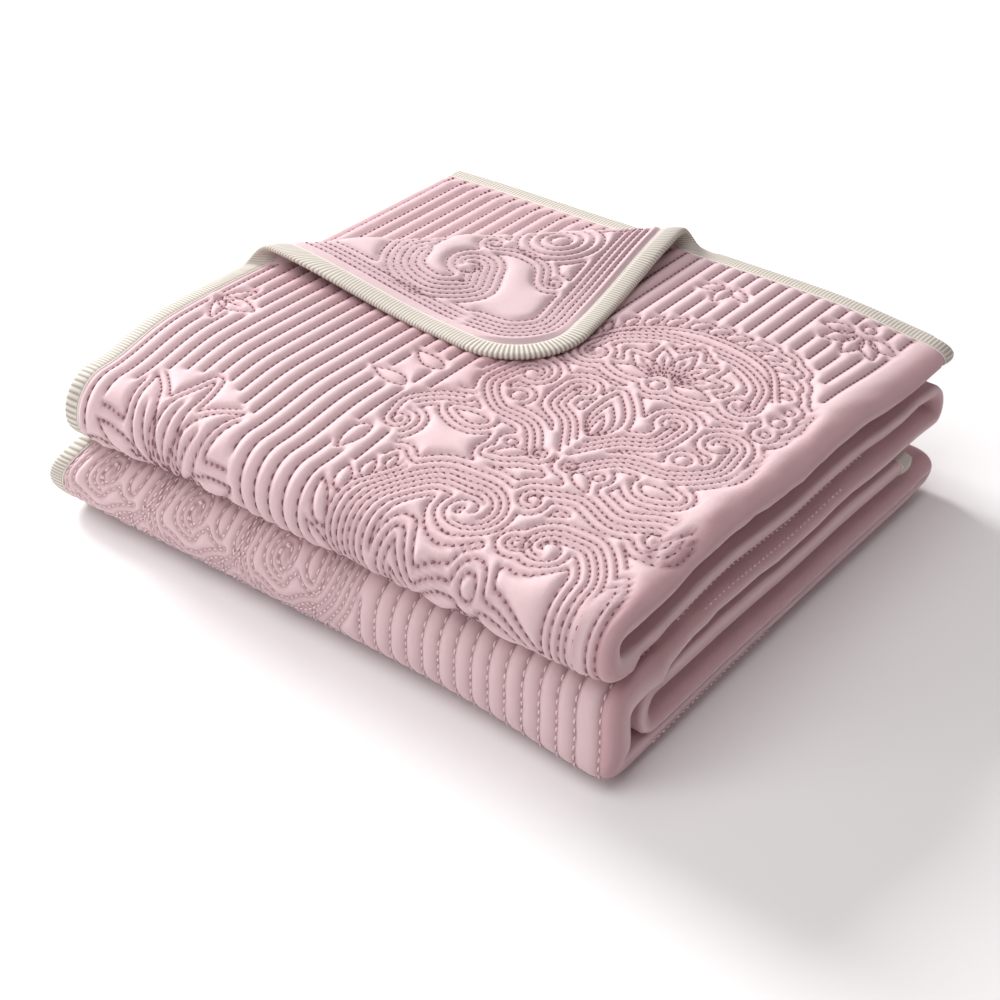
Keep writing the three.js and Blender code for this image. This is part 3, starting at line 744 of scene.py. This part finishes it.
def relief(s, q, k):
    """Puff in millimetres, faded to none at the hem, on the floor and off the sewing maps. The
    back of the cloth puffs only where it shows, on the corner that is turned over. Small rucks,
    a product of sines along the fold, lie on the right turn."""
    far = np.where(q < DEPTH, smooth(q - far_border(np.clip(s, BORDER_INSET, S5)), -1, 3), 1)
    edge = smooth(s, BORDER_INSET - 1, BORDER_INSET + 3) * far
    hidden = smooth(q, FLOOR_Q, FLOOR_Q + FLOOR_FADE) * (q < LEG_Q["fourth"][1])
    turned = (s < B[0] + 1) * (q < DEPTH) * smooth(beyond_crease(s, q), 0, 8)
    seen = np.where(k < 0, turned, 1 - 0.8 * turned)
    distance, inside = sewn_distance(s, q)
    at_turn = smooth(s, S1 + 2, S1 + 10) * (1 - smooth(s, S2, S2 + 8)) * (k > 0)
    at_turn = at_turn * smooth(q, 60, 80) * (q < FLOOR_Q)
    pulls = np.sin(q / 5.5 + 3 * np.sin(q / 31)) * np.sin(q / 17 + s / 3)
    return RELIEF * puff(distance) * inside * edge * (1 - hidden) * seen + RUCK * at_turn * pulls


def piece(name, points, faces):
    """Smooth mesh object at the origin, from points in metres."""
    data = bpy.data.meshes.new(name)
    data.from_pydata(points, [], faces)
    data.shade_smooth()
    obj = bpy.data.objects.new(name, data)
    bpy.context.collection.objects.link(obj)
    return obj


def mark(obj, label, values):
    """Value at each point of a piece, which its material reads."""
    obj.data.attributes.new(label, "FLOAT", "POINT").data.foreach_set("value", values)


class Sheet:
    """Flat points (s, q, k) of one closed skin and the faces between rows of them."""

    def __init__(self):
        self.flat, self.faces, self.count = [], [], 0

    def row(self, s, q, k):
        """New points as a row: pairs of id and place along the row."""
        s, q, k = np.broadcast_arrays(np.asarray(s, float), q, k)
        self.flat.append(np.stack([s, q, k], 1))
        self.count += len(s)
        return [[self.count - len(s) + n, at] for n, at in enumerate(s)]

    def strip(self, first, second, flip=False):
        """Faces between two rows: a quad where both go on to the same place, else a triangle
        on the row whose next point comes first."""
        i = j = 0
        while i < len(first) - 1 or j < len(second) - 1:
            a = first[i + 1][1] if i + 1 < len(first) else math.inf
            b = second[j + 1][1] if j + 1 < len(second) else math.inf
            face = [first[i][0], second[j][0]]
            if abs(a - b) < 1e-6:
                face += [second[j + 1][0], first[i + 1][0]]
                i, j = i + 1, j + 1
            elif a < b:
                face.append(first[i + 1][0])
                i += 1
            else:
                face.append(second[j + 1][0])
                j += 1
            face = [v for n, v in enumerate(face) if v not in face[:n]]
            if len(face) > 2:
                self.faces.append(face[::-1] if flip else face)

    def mesh(self, name, height):
        """The piece with its flat points as a UV map; height gives the extra k of each point."""
        s, q, k = np.concatenate(self.flat).T
        k = k + np.sign(k) * height(s, q, k)
        obj = piece(name, place(s, q, k), self.faces)
        corner = np.empty(len(obj.data.loops), np.int32)
        obj.data.loops.foreach_get("vertex_index", corner)
        uv = obj.data.uv_layers.new(name="Flat").uv
        uv.foreach_set("vector", (np.stack([s, q], 1)[corner] * 0.001).ravel())
        return obj, s, q, k


def spread(a, b, step):
    """Even places from a to b about step apart, both ends in."""
    return np.linspace(a, b, max(int(round(abs(b - a) / step)), 1) + 1)


# Spacing of the rows in each leg: face of ply 1, back of ply 1, right turn, plies inside.
ROW = 1.85
ROWS = {
    "top": (ROW, 16, 6, 30), "top_front": (ROW, 5, 5, 30), "front_upper": (ROW, 5, 2.5, 4),
    "second_front": (6, 6, 12, 30), "second": (40, 40, 20, 60), "back_upper": (2.5, 2.5, 2.5, 4),
    "third": (40, 40, 20, 60), "third_front": (8, 8, 12, 30), "front_lower": (ROW, 5, 2.5, 5),
    "bottom": (30, 30, 20, 60), "back_lower": (2.5, 2.5, 2.5, 4), "fifth": (40, 40, 20, 60),
    "front_inner": (2.5, 2.5, 2.5, 4), "fourth": (40, 40, 30, 60),
}
FACE_ROWS, BACK_ROWS, TURN_ROWS, INSIDE_ROWS = range(4)

# Columns: fine where the top ply shows, coarse on the plies inside the stack. Ply 3 shows its
# sewing as far as PLY3_SHOWN, beside the turned-back corner.
PLY3_SHOWN = S4 + 216
fine_cols = np.append(BORDER_INSET, spread(RIB_START - 3, rib_x[-1], RIB_PITCH / 7))
plain_cols = spread(BORDER_INSET, S1 - 4, 16)
inner_cols = np.concatenate([
    spread(S1, S2, 1.9), spread(S2, S3, 60)[1:], spread(S3, S4, 1.4)[1:],
    spread(S4, PLY3_SHOWN, 2.4)[1:], spread(PLY3_SHOWN, S5 - BORDER_INSET, 50)[1:],
])


def rows_of(kind):
    """Lengths q of all rows from the far border to the near one, spaced as ROWS says."""
    parts = [[BORDER_INSET]]
    for name, spacing in ROWS.items():
        low, high = LEG_Q[name]
        parts.append(spread(max(low, BORDER_INSET), high, spacing[kind])[1:])
    q = np.concatenate(parts)
    return np.append(q[q < END_Q - 1], END_Q)


def skin(half):
    """One side of the cloth, at height half: gives its rows of points along the left, far,
    right and near borders."""
    face = half > 0
    rows_q = rows_of(FACE_ROWS if face else BACK_ROWS)
    crease_start = crease_q(BORDER_INSET) - 0.2

    # the turned-back corner: rows parallel to the crease, fine on the reverse that shows
    met = rows_q[1:][rows_q[1:] < crease_start]
    crease_s = np.sort((DEPTH - A[1] - met) / CREASE_SLOPE)
    crease_s = np.concatenate([[BORDER_INSET], crease_s, [MEETING]])
    crease = cloth.row(crease_s, crease_q(crease_s), half)
    meeting, last, left = crease[-1], crease, [crease[0]]
    between = np.concatenate([spread(BORDER_INSET, 170, 9 if face else 1.7), spread(170, MEETING, 3)])
    between = np.unique(between)[:-1]
    outer = BORDER_INSET + (ARC_END - BORDER_INSET) * np.linspace(0, 1, 24) ** 2
    outer = np.concatenate([outer, spread(ARC_END, MEETING, 2.5)[1:-1]])
    shares = spread(0, 1, 1 / 20 if face else 1 / 96)[1:]
    if face:
        shares = 0.25 * shares + 0.75 * shares**1.6
    for share in shares:
        cols = outer if share == 1 else between
        at = crease_q(cols) + (far_border(cols) - crease_q(cols)) * share
        row = cloth.row(cols, at, half) + [meeting]
        cloth.strip(row, last, not face)
        last = row
        left.append(row[0])
    far = last[:-1]

    # ply 1: rows of one q from the crease or the far border to the right turn
    previous, edge = None, []
    crease_at = {round(float(crease_q(point[1])), 4): point for point in crease}
    for q in rows_q:
        shown = q <= q_roll[1] or q_low[0] < q <= q_low[1]
        cols = fine_cols if face and shown else plain_cols
        if previous is None:
            cols = np.concatenate([spread(MEETING, BEND + 2, 2.5)[1:], cols[cols > BEND + 3]])
            row = [meeting] + cloth.row(cols, far_border(cols), half)
            far += row[:-1]
        elif q < crease_start:
            start = crease_at[round(float(q), 4)]
            row = [start] + cloth.row(cols[cols > start[1] + 0.3], q, half)
        else:
            row = cloth.row(cols, q, half)
            left.insert(0, row[0])
            if previous[0][1] > BORDER_INSET:
                previous = [crease[0]] + previous
        if previous is not None:
            cloth.strip(previous, row, not face)
        edge.append([row[-1][0], q])
        previous = row

    # plies 2 and 3: columns, each with its own rows, from the right turn to the inner hem
    turn_q, inside_q = rows_of(TURN_ROWS), rows_of(INSIDE_ROWS)
    shown_q = np.concatenate([spread(BORDER_INSET, 170, 2.4), inside_q[inside_q > 175]])
    columns = [edge]
    for s in inner_cols:
        if s <= S2 + 1:
            at = turn_q
        else:
            at = shown_q if face and S4 - 1 < s < PLY3_SHOWN + 1 else inside_q
        q = np.append(far_border(s), at[1:])
        column = [[i, along_row] for (i, _), along_row in zip(cloth.row(np.full(len(q), s), q, half), at)]
        cloth.strip(columns[-1], column, face)
        columns.append(column)
    far += [column[0] for column in columns[:-1]]
    return left, far, columns[-1], previous[:-1] + [column[-1] for column in columns[:-1]]


LOOP_END = 99999


def loop_place(entry):
    """Place along the hem's loop, the same for both faces of the cloth: up the left border,
    along the far one, down the right one and back along the near one."""
    _, s, q, out = entry
    if abs(s - BORDER_INSET) < 1e-6 and q > far_border(BORDER_INSET) + 1e-6:
        return -q
    if abs(s - (S5 - BORDER_INSET)) < 1e-6:
        return 2000 + q
    if q > END_Q - 1e-6:
        return 6000 - s
    return s


def border_loop(left, far, right, near):
    """Borders in one loop: ids, each with its flat point and the step out to the hem."""
    flat = np.concatenate(cloth.flat)
    steps = [(point, (-1, 0)) for point in left[1:-1] + far[:1]]
    steps += [(point, far_normal(flat[point[0]][0])) for point in far[1:]]
    steps += [(right[0], (1, -1)), *((point, (1, 0)) for point in right[1:-1]), (right[-1], (1, 1))]
    steps += [(point, (0, 1)) for point in near[:0:-1]] + [(near[0], (-1, 1))]
    loop = []
    for (i, _), step in steps:
        s, q, _ = flat[i]
        loop.append((i, s, q, outward(np.array(step, float), s, q)))
    return sorted(loop, key=loop_place)


def loop_row(ids, loop):
    """Row of ids at the loop's places, closed by its first point again."""
    return [[i, loop_place(entry)] for i, entry in zip(ids, loop)] + [[ids[0], LOOP_END]]


# Both skins, and the thin edge of the sheet between their borders, which the tape covers.
cloth = Sheet()
face_loop, back_loop = [border_loop(*skin(half)) for half in (CLOTH_HALF, -CLOTH_HALF)]
thinning = BORDER_INSET - EDGE_INSET
hem_points = np.array([(s + thinning * out[0], q + thinning * out[1]) for _, s, q, out in face_loop])
upper, lower = [
    loop_row([i for i, _ in cloth.row(*hem_points.T, k)], face_loop) for k in (EDGE_HALF, -EDGE_HALF)
]
cloth.strip(upper, loop_row([entry[0] for entry in face_loop], face_loop))
cloth.strip(lower, upper)
cloth.strip(loop_row([entry[0] for entry in back_loop], back_loop), lower)
cloth_obj, cloth_s, cloth_q, cloth_k = cloth.mesh("QuiltedCloth", relief)


# The fabric of the cloth: dusty rose brushed microfibre. Its weave is far finer than a stitch,
# so only a soft grain, a slight unevenness of dye and the groove of the sewing show.
# Painted shade darkens its sewn grooves, the plies inside the right turn and ply 1 beside the turned-back
# corner; a painted highlight lies along the crease of the right turn.


def node(tree, kind, inputs=None, **settings):
    """New shader node; inputs holds a value or a link for a socket's name or number."""
    made = tree.nodes.new(f"ShaderNode{kind}")
    for key, value in settings.items():
        setattr(made, key, value)
    for key, value in (inputs or {}).items():
        if isinstance(value, bpy.types.NodeSocket):
            tree.links.new(value, made.inputs[key])
        else:
            made.inputs[key].default_value = value
    return made


def math_node(tree, operation, *values):
    """Output of a Math node over values or links."""
    return node(tree, "Math", dict(enumerate(values)), operation=operation).outputs[0]


def blend_node(tree, share, first, second):
    """Output of a colour Mix node: first where share is 0 and second where it is 1."""
    return node(tree, "Mix", {0: share, 6: first, 7: second}, data_type="RGBA").outputs[2]


def grain_group():
    """Cloth grain: a colour that varies softly with the dye, goes over to a colour of painted
    shade where the piece is marked for it and to a painted highlight along the marked rim, and
    darkens with painted shade in the sewn grooves; and a normal with the weave, small wrinkles
    and the grooves in it."""
    tree = bpy.data.node_groups.new("ClothGrain", "ShaderNodeTree")
    for way, kind, names in (
        ("INPUT", "Color", ("Color", "Painted Groove Shade", "Painted Shade Color", "Painted Highlight Color")),
        ("INPUT", "Float", ("Weave Scale", "Variation", "Bump")),
        ("OUTPUT", "Color", ("Color",)), ("OUTPUT", "Vector", ("Normal",)),
    ):
        for name in names:
            tree.interface.new_socket(name, in_out=way, socket_type=f"NodeSocket{kind}")
    given = tree.nodes.new("NodeGroupInput").outputs
    result = tree.nodes.new("NodeGroupOutput").inputs
    where = node(tree, "TexCoord").outputs["Object"]
    dye, weave, wrinkles = [
        node(tree, "TexNoise", {"Vector": where, "Scale": scale, "Detail": detail}).outputs[0]
        for scale, detail in ((60, 5), (given["Weave Scale"], 2), (240, 3))
    ]
    sewn, painted_shade, painted_highlight = [
        node(tree, "Attribute", attribute_name=name).outputs["Fac"] for name in ("sewn", "painted_shade", "painted_highlight")
    ]
    swing = [math_node(tree, "SUBTRACT", noise, 0.5) for noise in (dye, weave)]
    swing = math_node(tree, "ADD", *swing)
    value = math_node(tree, "MULTIPLY_ADD", swing, given["Variation"], 1.0)
    base = blend_node(tree, painted_shade, given["Color"], given["Painted Shade Color"])
    base = blend_node(tree, painted_highlight, base, given["Painted Highlight Color"])
    dyed = node(tree, "HueSaturation", {"Color": base, "Value": value}).outputs[0]
    tree.links.new(blend_node(tree, sewn, dyed, given["Painted Groove Shade"]), result["Color"])
    height = math_node(tree, "MULTIPLY_ADD", wrinkles, 1.4, weave)
    height = math_node(tree, "MULTIPLY_ADD", sewn, -1.2, height)
    bump = node(tree, "Bump", {"Strength": given["Bump"], "Distance": 0.0004, "Height": height})
    tree.links.new(bump.outputs[0], result["Normal"])
    return tree


CLOTH_GRAIN = grain_group()


def finish_of(name, roughness, **constants):
    """Principled material; its constant values are set on its own sockets."""
    made = bpy.data.materials.new(name)
    made.use_nodes = True
    sockets = made.node_tree.nodes["Principled BSDF"].inputs
    sockets["Roughness"].default_value = roughness
    for label, value in constants.items():
        sockets[label.replace("_", " ")].default_value = value
    return made


def woven(name, roughness, sheen, tint, grain):
    """Fabric: the cloth grain with the fabric's own values, under a soft sheen."""
    made = finish_of(name, roughness, Sheen_Weight=sheen, Sheen_Roughness=0.5, Sheen_Tint=tint,
                     Specular_IOR_Level=0.25)
    tree = made.node_tree
    used = node(tree, "Group", node_tree=CLOTH_GRAIN)
    for label, value in grain.items():
        used.inputs[label].default_value = value
    shader = tree.nodes["Principled BSDF"].inputs
    tree.links.new(used.outputs["Color"], shader["Base Color"])
    tree.links.new(used.outputs["Normal"], shader["Normal"])
    return made


# the fabric's own colour, with colours of painted shade for the grooves and folds and a painted highlight
# for the crease at the right turn
cloth_obj.data.materials.append(woven(
    "QuiltedClothFabric", 0.85, 0.3, (1, 0.88, 0.9, 1),
    {"Color": (0.70, 0.52, 0.54, 1), "Painted Groove Shade": (0.31, 0.165, 0.185, 1),
     "Painted Shade Color": (0.56, 0.355, 0.38, 1), "Painted Highlight Color": (0.84, 0.66, 0.68, 1),
     "Weave Scale": 2600, "Variation": 0.10, "Bump": 0.35}))
# the reverse's own colour, with the same painted shade and painted highlight colours
cloth_obj.data.materials.append(woven(
    "QuiltedClothReverse", 0.85, 0.3, (1, 0.9, 0.92, 1),
    {"Color": (0.65, 0.49, 0.51, 1), "Painted Groove Shade": (0.36, 0.21, 0.235, 1),
     "Painted Shade Color": (0.54, 0.35, 0.375, 1), "Painted Highlight Color": (0.84, 0.66, 0.68, 1),
     "Weave Scale": 2600, "Variation": 0.08, "Bump": 0.3}))

# length over which the shade beside the turned-back corner falls off
FLAP_SHADE = 22


def under_flap(s, q):
    """Share of shade on ply 1 beside the turned-back corner: the point is mirrored over the
    crease, and its distance past the corner's hem counts, 1 at the hem and less outside it."""
    b = beyond_crease(s, q)
    twice = 2 * b - np.pi * ROLL
    over_s, over_q = s - twice * BEYOND[0], q + twice * BEYOND[1]
    past = np.maximum(BORDER_INSET + LINE_Q + HEM_SLOPE * over_s - over_q, -over_s)
    return np.exp(-np.maximum(past, 0) / FLAP_SHADE) * (b < 0) * (s < S1) * (q < DEPTH)


on_back = cloth_k[[face[0] for face in cloth.faces]] < -EDGE_HALF - 0.01
cloth_obj.data.polygons.foreach_set("material_index", on_back.astype(np.int32))
distance, inside = sewn_distance(cloth_s, cloth_q)
inner_shade = smooth(cloth_s, S1 + 4, S1 + 11) * (1 - 0.45 * smooth(cloth_s, S3, S4))
# painted shade in the sewn grooves: this mark darkens the colour there, and also deepens the grooves'
# bump
mark(cloth_obj, "sewn", np.clip(1 - distance / 2, 0, 1) ** 1.2 * inside)
# painted shade: the plies inside the right turn, and ply 1 beside the turned-back corner, go over to a
# darker colour
mark(cloth_obj, "painted_shade", np.maximum(inner_shade, under_flap(cloth_s, cloth_q)))
# painted highlight: a lighter colour along the crease at the right turn
mark(cloth_obj, "painted_highlight", 0.8 * bell((cloth_s - S2 + 2) / 1.8) * smooth(cloth_q, 60, 90))
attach(cloth_obj, "root")
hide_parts("quilted_cloth")


# The sewing thread: a twisted polyester thread in the colour of the cloth. Each stitch is a
# short bead of thread that lies in its groove and dips into the cloth at both ends. Its three
# finishes are that one thread lit and shaded: darkened with painted shade on the motifs, more
# in the channels, and paler with painted light on the lower front bulge and down the right turn.

STITCH, STITCH_GAP, FIRST_STITCH = 2.6, 1.7, 0.4
SMALL_STITCH, SMALL_GAP = 1.3, 3.0
THREAD, FLATNESS = 0.6, 0.75

# the four rings of a bead: share of its length, share of its thickness, height over the cloth
BEAD_AT = np.array([0.0, 0.28, 0.72, 1.0])
BEAD_SIZE = np.array([0.45, 1.0, 1.0, 0.45])
BEAD_LIFT = np.array([-0.05, 0.6, 0.6, -0.05])


def beads_along(lines, length, gap):
    """Flat points of the four rings of each bead, in even steps along the lines."""
    spots = []
    for line in lines:
        travelled = lengths(line)
        start = np.arange(FIRST_STITCH, travelled[-1] - length, length + gap)
        spots.append(at_lengths(start[:, None] + length * BEAD_AT, travelled, line))
    return np.concatenate(spots)


def stitches(name, at, thread):
    """One mesh of beads, four rings of four points each, on the side of the cloth that shows.
    Beads under the tape and under the stack are left out."""
    middle_s, middle_q = at.mean(axis=1).T
    bare = middle_s >= BORDER_INSET - 0.5
    bare &= middle_q >= far_border(np.clip(middle_s, BORDER_INSET, S5)) + 0.6
    turned = (middle_s < B[0]) & (middle_q < DEPTH) & (beyond_crease(middle_s, middle_q) > 1)
    at, side = at[bare], np.where(turned[bare], -1.0, 1.0)[:, None, None]
    way = at[:, 3] - at[:, 0]
    way /= np.linalg.norm(way, axis=1)[:, None]
    angle = np.pi / 2 * np.arange(4)
    radius = THREAD * BEAD_SIZE[None, :, None]
    out = radius * np.cos(angle)
    s = at[..., 0, None] - out * way[:, None, 1, None]
    q = at[..., 1, None] + out * way[:, None, 0, None]
    k = CLOTH_HALF + BEAD_LIFT[None, :, None] + relief(at[..., 0], at[..., 1], side[..., 0])[..., None]
    points = place(s, q, side * (k + FLATNESS * radius * np.sin(angle)))
    above = points[..., 2].min(axis=(1, 2)) > 0
    points, side = points[above], side[above]
    ring, step = 4 * np.arange(3)[:, None], np.arange(4)[None]
    quads = np.stack([ring + step, ring + (step + 1) % 4, ring + (step + 1) % 4 + 4, ring + step + 4], -1)
    bead = np.concatenate([quads.reshape(-1, 4), [[3, 2, 1, 0], [12, 13, 14, 15]]])
    faces = 16 * np.arange(len(points))[:, None, None] + bead[None]
    outside = side[:, 0, 0] > 0
    faces[outside] = faces[outside][..., ::-1]
    obj = piece(name, points.reshape(-1, 3), faces.reshape(-1, 4))
    obj.data.materials.append(thread)
    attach(obj, "root")
    return obj


# painted shade: the motif thread darkened as if sunk in its shaded groove
motif_stitches = stitches(
    "MotifStitches", beads_along(motif_lines, STITCH, STITCH_GAP),
    finish_of("ThreadPaintedShade", 0.7, Base_Color=(0.33, 0.17, 0.195, 1)))
# painted shade, deeper: the channel thread darkened as if in shaded grooves
channel_stitches = stitches(
    "ChannelStitches", beads_along(channel_lines + under_lines, STITCH, STITCH_GAP),
    finish_of("ThreadShade", 0.7, Base_Color=(0.22, 0.10, 0.12, 1)))
# painted light: the front thread paler as if catching the light
front_stitches = stitches(
    "FrontStitches", np.concatenate([beads_along(front_lines, STITCH, STITCH_GAP),
                                     beads_along(side_lines, SMALL_STITCH, SMALL_GAP)]),
    finish_of("ThreadPaintedLight", 0.6, Base_Color=(0.86, 0.66, 0.68, 1)))


# The binding: a grosgrain tape folded over the hem and sewn down, with fine cross ribs.
# Its section is a rounded U about the thin edge of the cloth, carried round the whole hem.

BINDING_WIDTH, CLEARANCE, SEAM_INSET = 12.5, 0.3, 11.5
RIDGE_PITCH, RIDGE = 2.3, 0.36
TIP = EDGE_HALF + CLEARANCE
THICKENING = (CLOTH_HALF - EDGE_HALF) / (BORDER_INSET - EDGE_INSET)
MOUTH = TIP + THICKENING * (BINDING_WIDTH - EDGE_INSET)

# inset from the hem, height over the middle and share of the ridge, from the tape's edge out
OUTER = [
    (BINDING_WIDTH, MOUTH + 0.15, 0.0), (12.3, MOUTH + 0.6, 0.0), (11.8, MOUTH + 0.66, 0.0),
    (SEAM_INSET, MOUTH + 0.42, 0.0), (11.1, MOUTH + 0.68, 0.7), (9.8, MOUTH + 0.78, 1.0),
    (7.6, MOUTH + 0.82, 1.0), (5.4, MOUTH + 0.82, 1.0), (3.2, TIP + 0.95, 1.0),
    (1.4, TIP + 0.62, 1.0), (0.35, TIP * 0.75, 1.0), (0.05, 0.0, 1.0),
]
INNER = [
    (BINDING_WIDTH, -MOUTH, 0.0), (EDGE_INSET - CLEARANCE, -TIP, 0.0),
    (EDGE_INSET - CLEARANCE, TIP, 0.0), (BINDING_WIDTH, MOUTH, 0.0),
]
TAPE_SHOWN = ("top", "top_front", "front_upper", "front_lower")


def hem_stations():
    """Flat points on the border line all round the hem with their steps out, close together
    where the binding shows and each with its share of the cross ribs."""
    parts = []

    def stretch(s, q, steps_out, ribs):
        s, q = np.broadcast_arrays(np.asarray(s, float), q)
        steps_out = np.broadcast_to(np.asarray(steps_out, float), (len(s), 2))
        parts.append((np.stack([s, q], 1), steps_out, np.full(len(s), ribs)))

    fine, right = RIDGE_PITCH / 3, S5 - BORDER_INSET
    for name, *_ in reversed(LEGS):
        low, high = LEG_Q[name]
        low, high = max(low, ARC_Q), min(high, END_Q)
        shown = name in TAPE_SHOWN
        q = spread(high, low, fine if shown else 2.5)[: -1 if name != "top" else None]
        stretch(BORDER_INSET, q, (-1, 0), shown)
    slant_angle = math.atan2(-1, HEM_SLOPE) + 2 * math.pi
    angle = spread(math.pi, slant_angle, fine / CORNER_RADIUS)[1:-1]
    v = np.stack([np.cos(angle), np.sin(angle)], 1)
    stretch(CORNER_RADIUS + ARC * v[:, 0], ARC_Q + ARC * v[:, 1], v, True)
    s = spread(ARC_END, BEND, fine)[:-1]
    stretch(s, far_border(s), np.array([HEM_SLOPE, -1]) / HEM_SECANT, True)
    for a, b, step in ((BEND, S2, fine), (S2, S3, 6), (S3, S4 + 190, fine), (S4 + 190, right, 8)):
        s = spread(a, b, step)[:-1]
        stretch(s, far_border(s), (0, -1), step == fine)
    far_q = float(far_border(right))
    stretch([right], far_q, (1, -1), False)
    stretch(right, spread(far_q, END_Q, 3)[1:-1], (1, 0), False)
    stretch([right], END_Q, (1, 1), False)
    stretch(spread(right, BORDER_INSET, 4)[1:-1], END_Q, (0, 1), False)
    stretch([BORDER_INSET], END_Q, (-1, 1), False)
    points, steps_out, ribs = (np.concatenate([part[i] for part in parts]) for i in range(3))
    return points, np.array([outward(step, *at) for step, at in zip(steps_out, points)]), ribs


def bound_hem():
    """Tape: rings of its section at every station, joined round the loop. Its outer skin rises
    and falls by a cosine of the length along the hem, and is marked for painted shade where it
    is low."""
    points, out, ribs = hem_stations()
    phase = 0.5 + 0.5 * np.cos(2 * np.pi * lengths(points) / RIDGE_PITCH)
    section = OUTER + [(i, -k, share) for i, k, share in OUTER[-2::-1]] + INNER
    inset, k, share = np.array(section).T
    raised = RIDGE * np.where(ribs, phase, 0.5)[:, None] * share
    step = BORDER_INSET - inset + 0.7 * raised * (inset < 2)
    s = points[:, 0, None] + step * out[:, 0, None]
    q = points[:, 1, None] + step * out[:, 1, None]
    height = k + raised * np.sign(k) * (inset >= 0.2)
    n, m = s.shape
    i, j = np.meshgrid(np.arange(n), np.arange(m), indexing="ij")
    following, up = (i + 1) % n, (j + 1) % m
    faces = np.stack([i * m + j, i * m + up, following * m + up, following * m + j], -1)
    obj = piece("EdgeBinding", place(s, q, height).reshape(-1, 3), faces.reshape(-1, 4))
    # painted shade: darker in the valleys between the cross ribs, a little darker all over where no ribs
    # are drawn, and along the seam line
    groove = np.where(ribs, 1 - phase, 0.4)[:, None] * share
    mark(obj, "sewn", np.maximum(groove, 0.9 * (inset == SEAM_INSET)).ravel())
    return obj


binding = bound_hem()
# the tape's own colour, and a colour of painted shade for its rib valleys and seam
binding.data.materials.append(woven(
    "GrosgrainTape", 0.7, 0.2, (1, 1, 0.95, 1),
    {"Color": (0.79, 0.75, 0.69, 1), "Painted Groove Shade": (0.27, 0.23, 0.18, 1),
     "Weave Scale": 3000, "Variation": 0.06, "Bump": 0.15}))
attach(binding, "root")
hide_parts("edge_binding")


# The floor: a wide sheet of matt white paper, just under the stack, and a faint warm surround.

FLOOR_HALF, FLOOR_Z = 4.0, -0.0006
floor = piece(
    "Floor", [(x * FLOOR_HALF, y * FLOOR_HALF, FLOOR_Z) for x, y in ((-1, -1), (1, -1), (1, 1), (-1, 1))],
    [(0, 1, 2, 3)])
floor.data.materials.append(finish_of("FloorPaper", 0.9, Base_Color=(0.9, 0.9, 0.9, 1)))

surround = bpy.data.worlds.new("Studio")
surround.use_nodes = True
backdrop = surround.node_tree.nodes["Background"].inputs
backdrop["Color"].default_value = (1, 0.88, 0.89, 1)
backdrop["Strength"].default_value = 0.28
bpy.context.scene.world = surround
bpy.context.scene.view_settings.view_transform = "Standard"


# The studio: a wide soft lamp from the upper left, a weak one in front and one overhead, and
# the camera at the photograph's angle.


def aim(obj, at, way):
    """Puts a lamp or the camera at a place, facing a direction."""
    bpy.context.collection.objects.link(obj)
    obj.location = at
    obj.rotation_mode = "QUATERNION"
    obj.rotation_quaternion = Vector(way).to_track_quat("-Z", "Y")


LIT = Vector((0, 0, 0.05))
for name, power, size, at in (
    ("Key", 128, 1.0, (-2.6, 0.6, 1.45)),
    ("FrontFill", 20, 1.4, (-1.6, -2.4, 1.2)),
    ("Overhead", 24, 1.8, (-0.2, -0.7, 2.0)),
):
    lamp = bpy.data.lights.new(name, "AREA")
    lamp.energy, lamp.size = power, size
    aim(bpy.data.objects.new(name, lamp), at, LIT - Vector(at))

AZIMUTH, ELEVATION, DISTANCE = math.radians(38.275), math.radians(34.281), 1.0534
LOOKED_AT = (np.array([243.52, 105.02, 50.0]) - ORIGIN) * 0.001
level = math.cos(ELEVATION)
back_step = np.array([math.sin(AZIMUTH) * level, -math.cos(AZIMUTH) * level, math.sin(ELEVATION)])
camera = bpy.data.objects.new("Camera", bpy.data.cameras.new("Camera"))
camera.data.sensor_width = 36
camera.data.lens = 66.95
aim(camera, LOOKED_AT + back_step * DISTANCE, -back_step)
bpy.context.scene.camera = camera
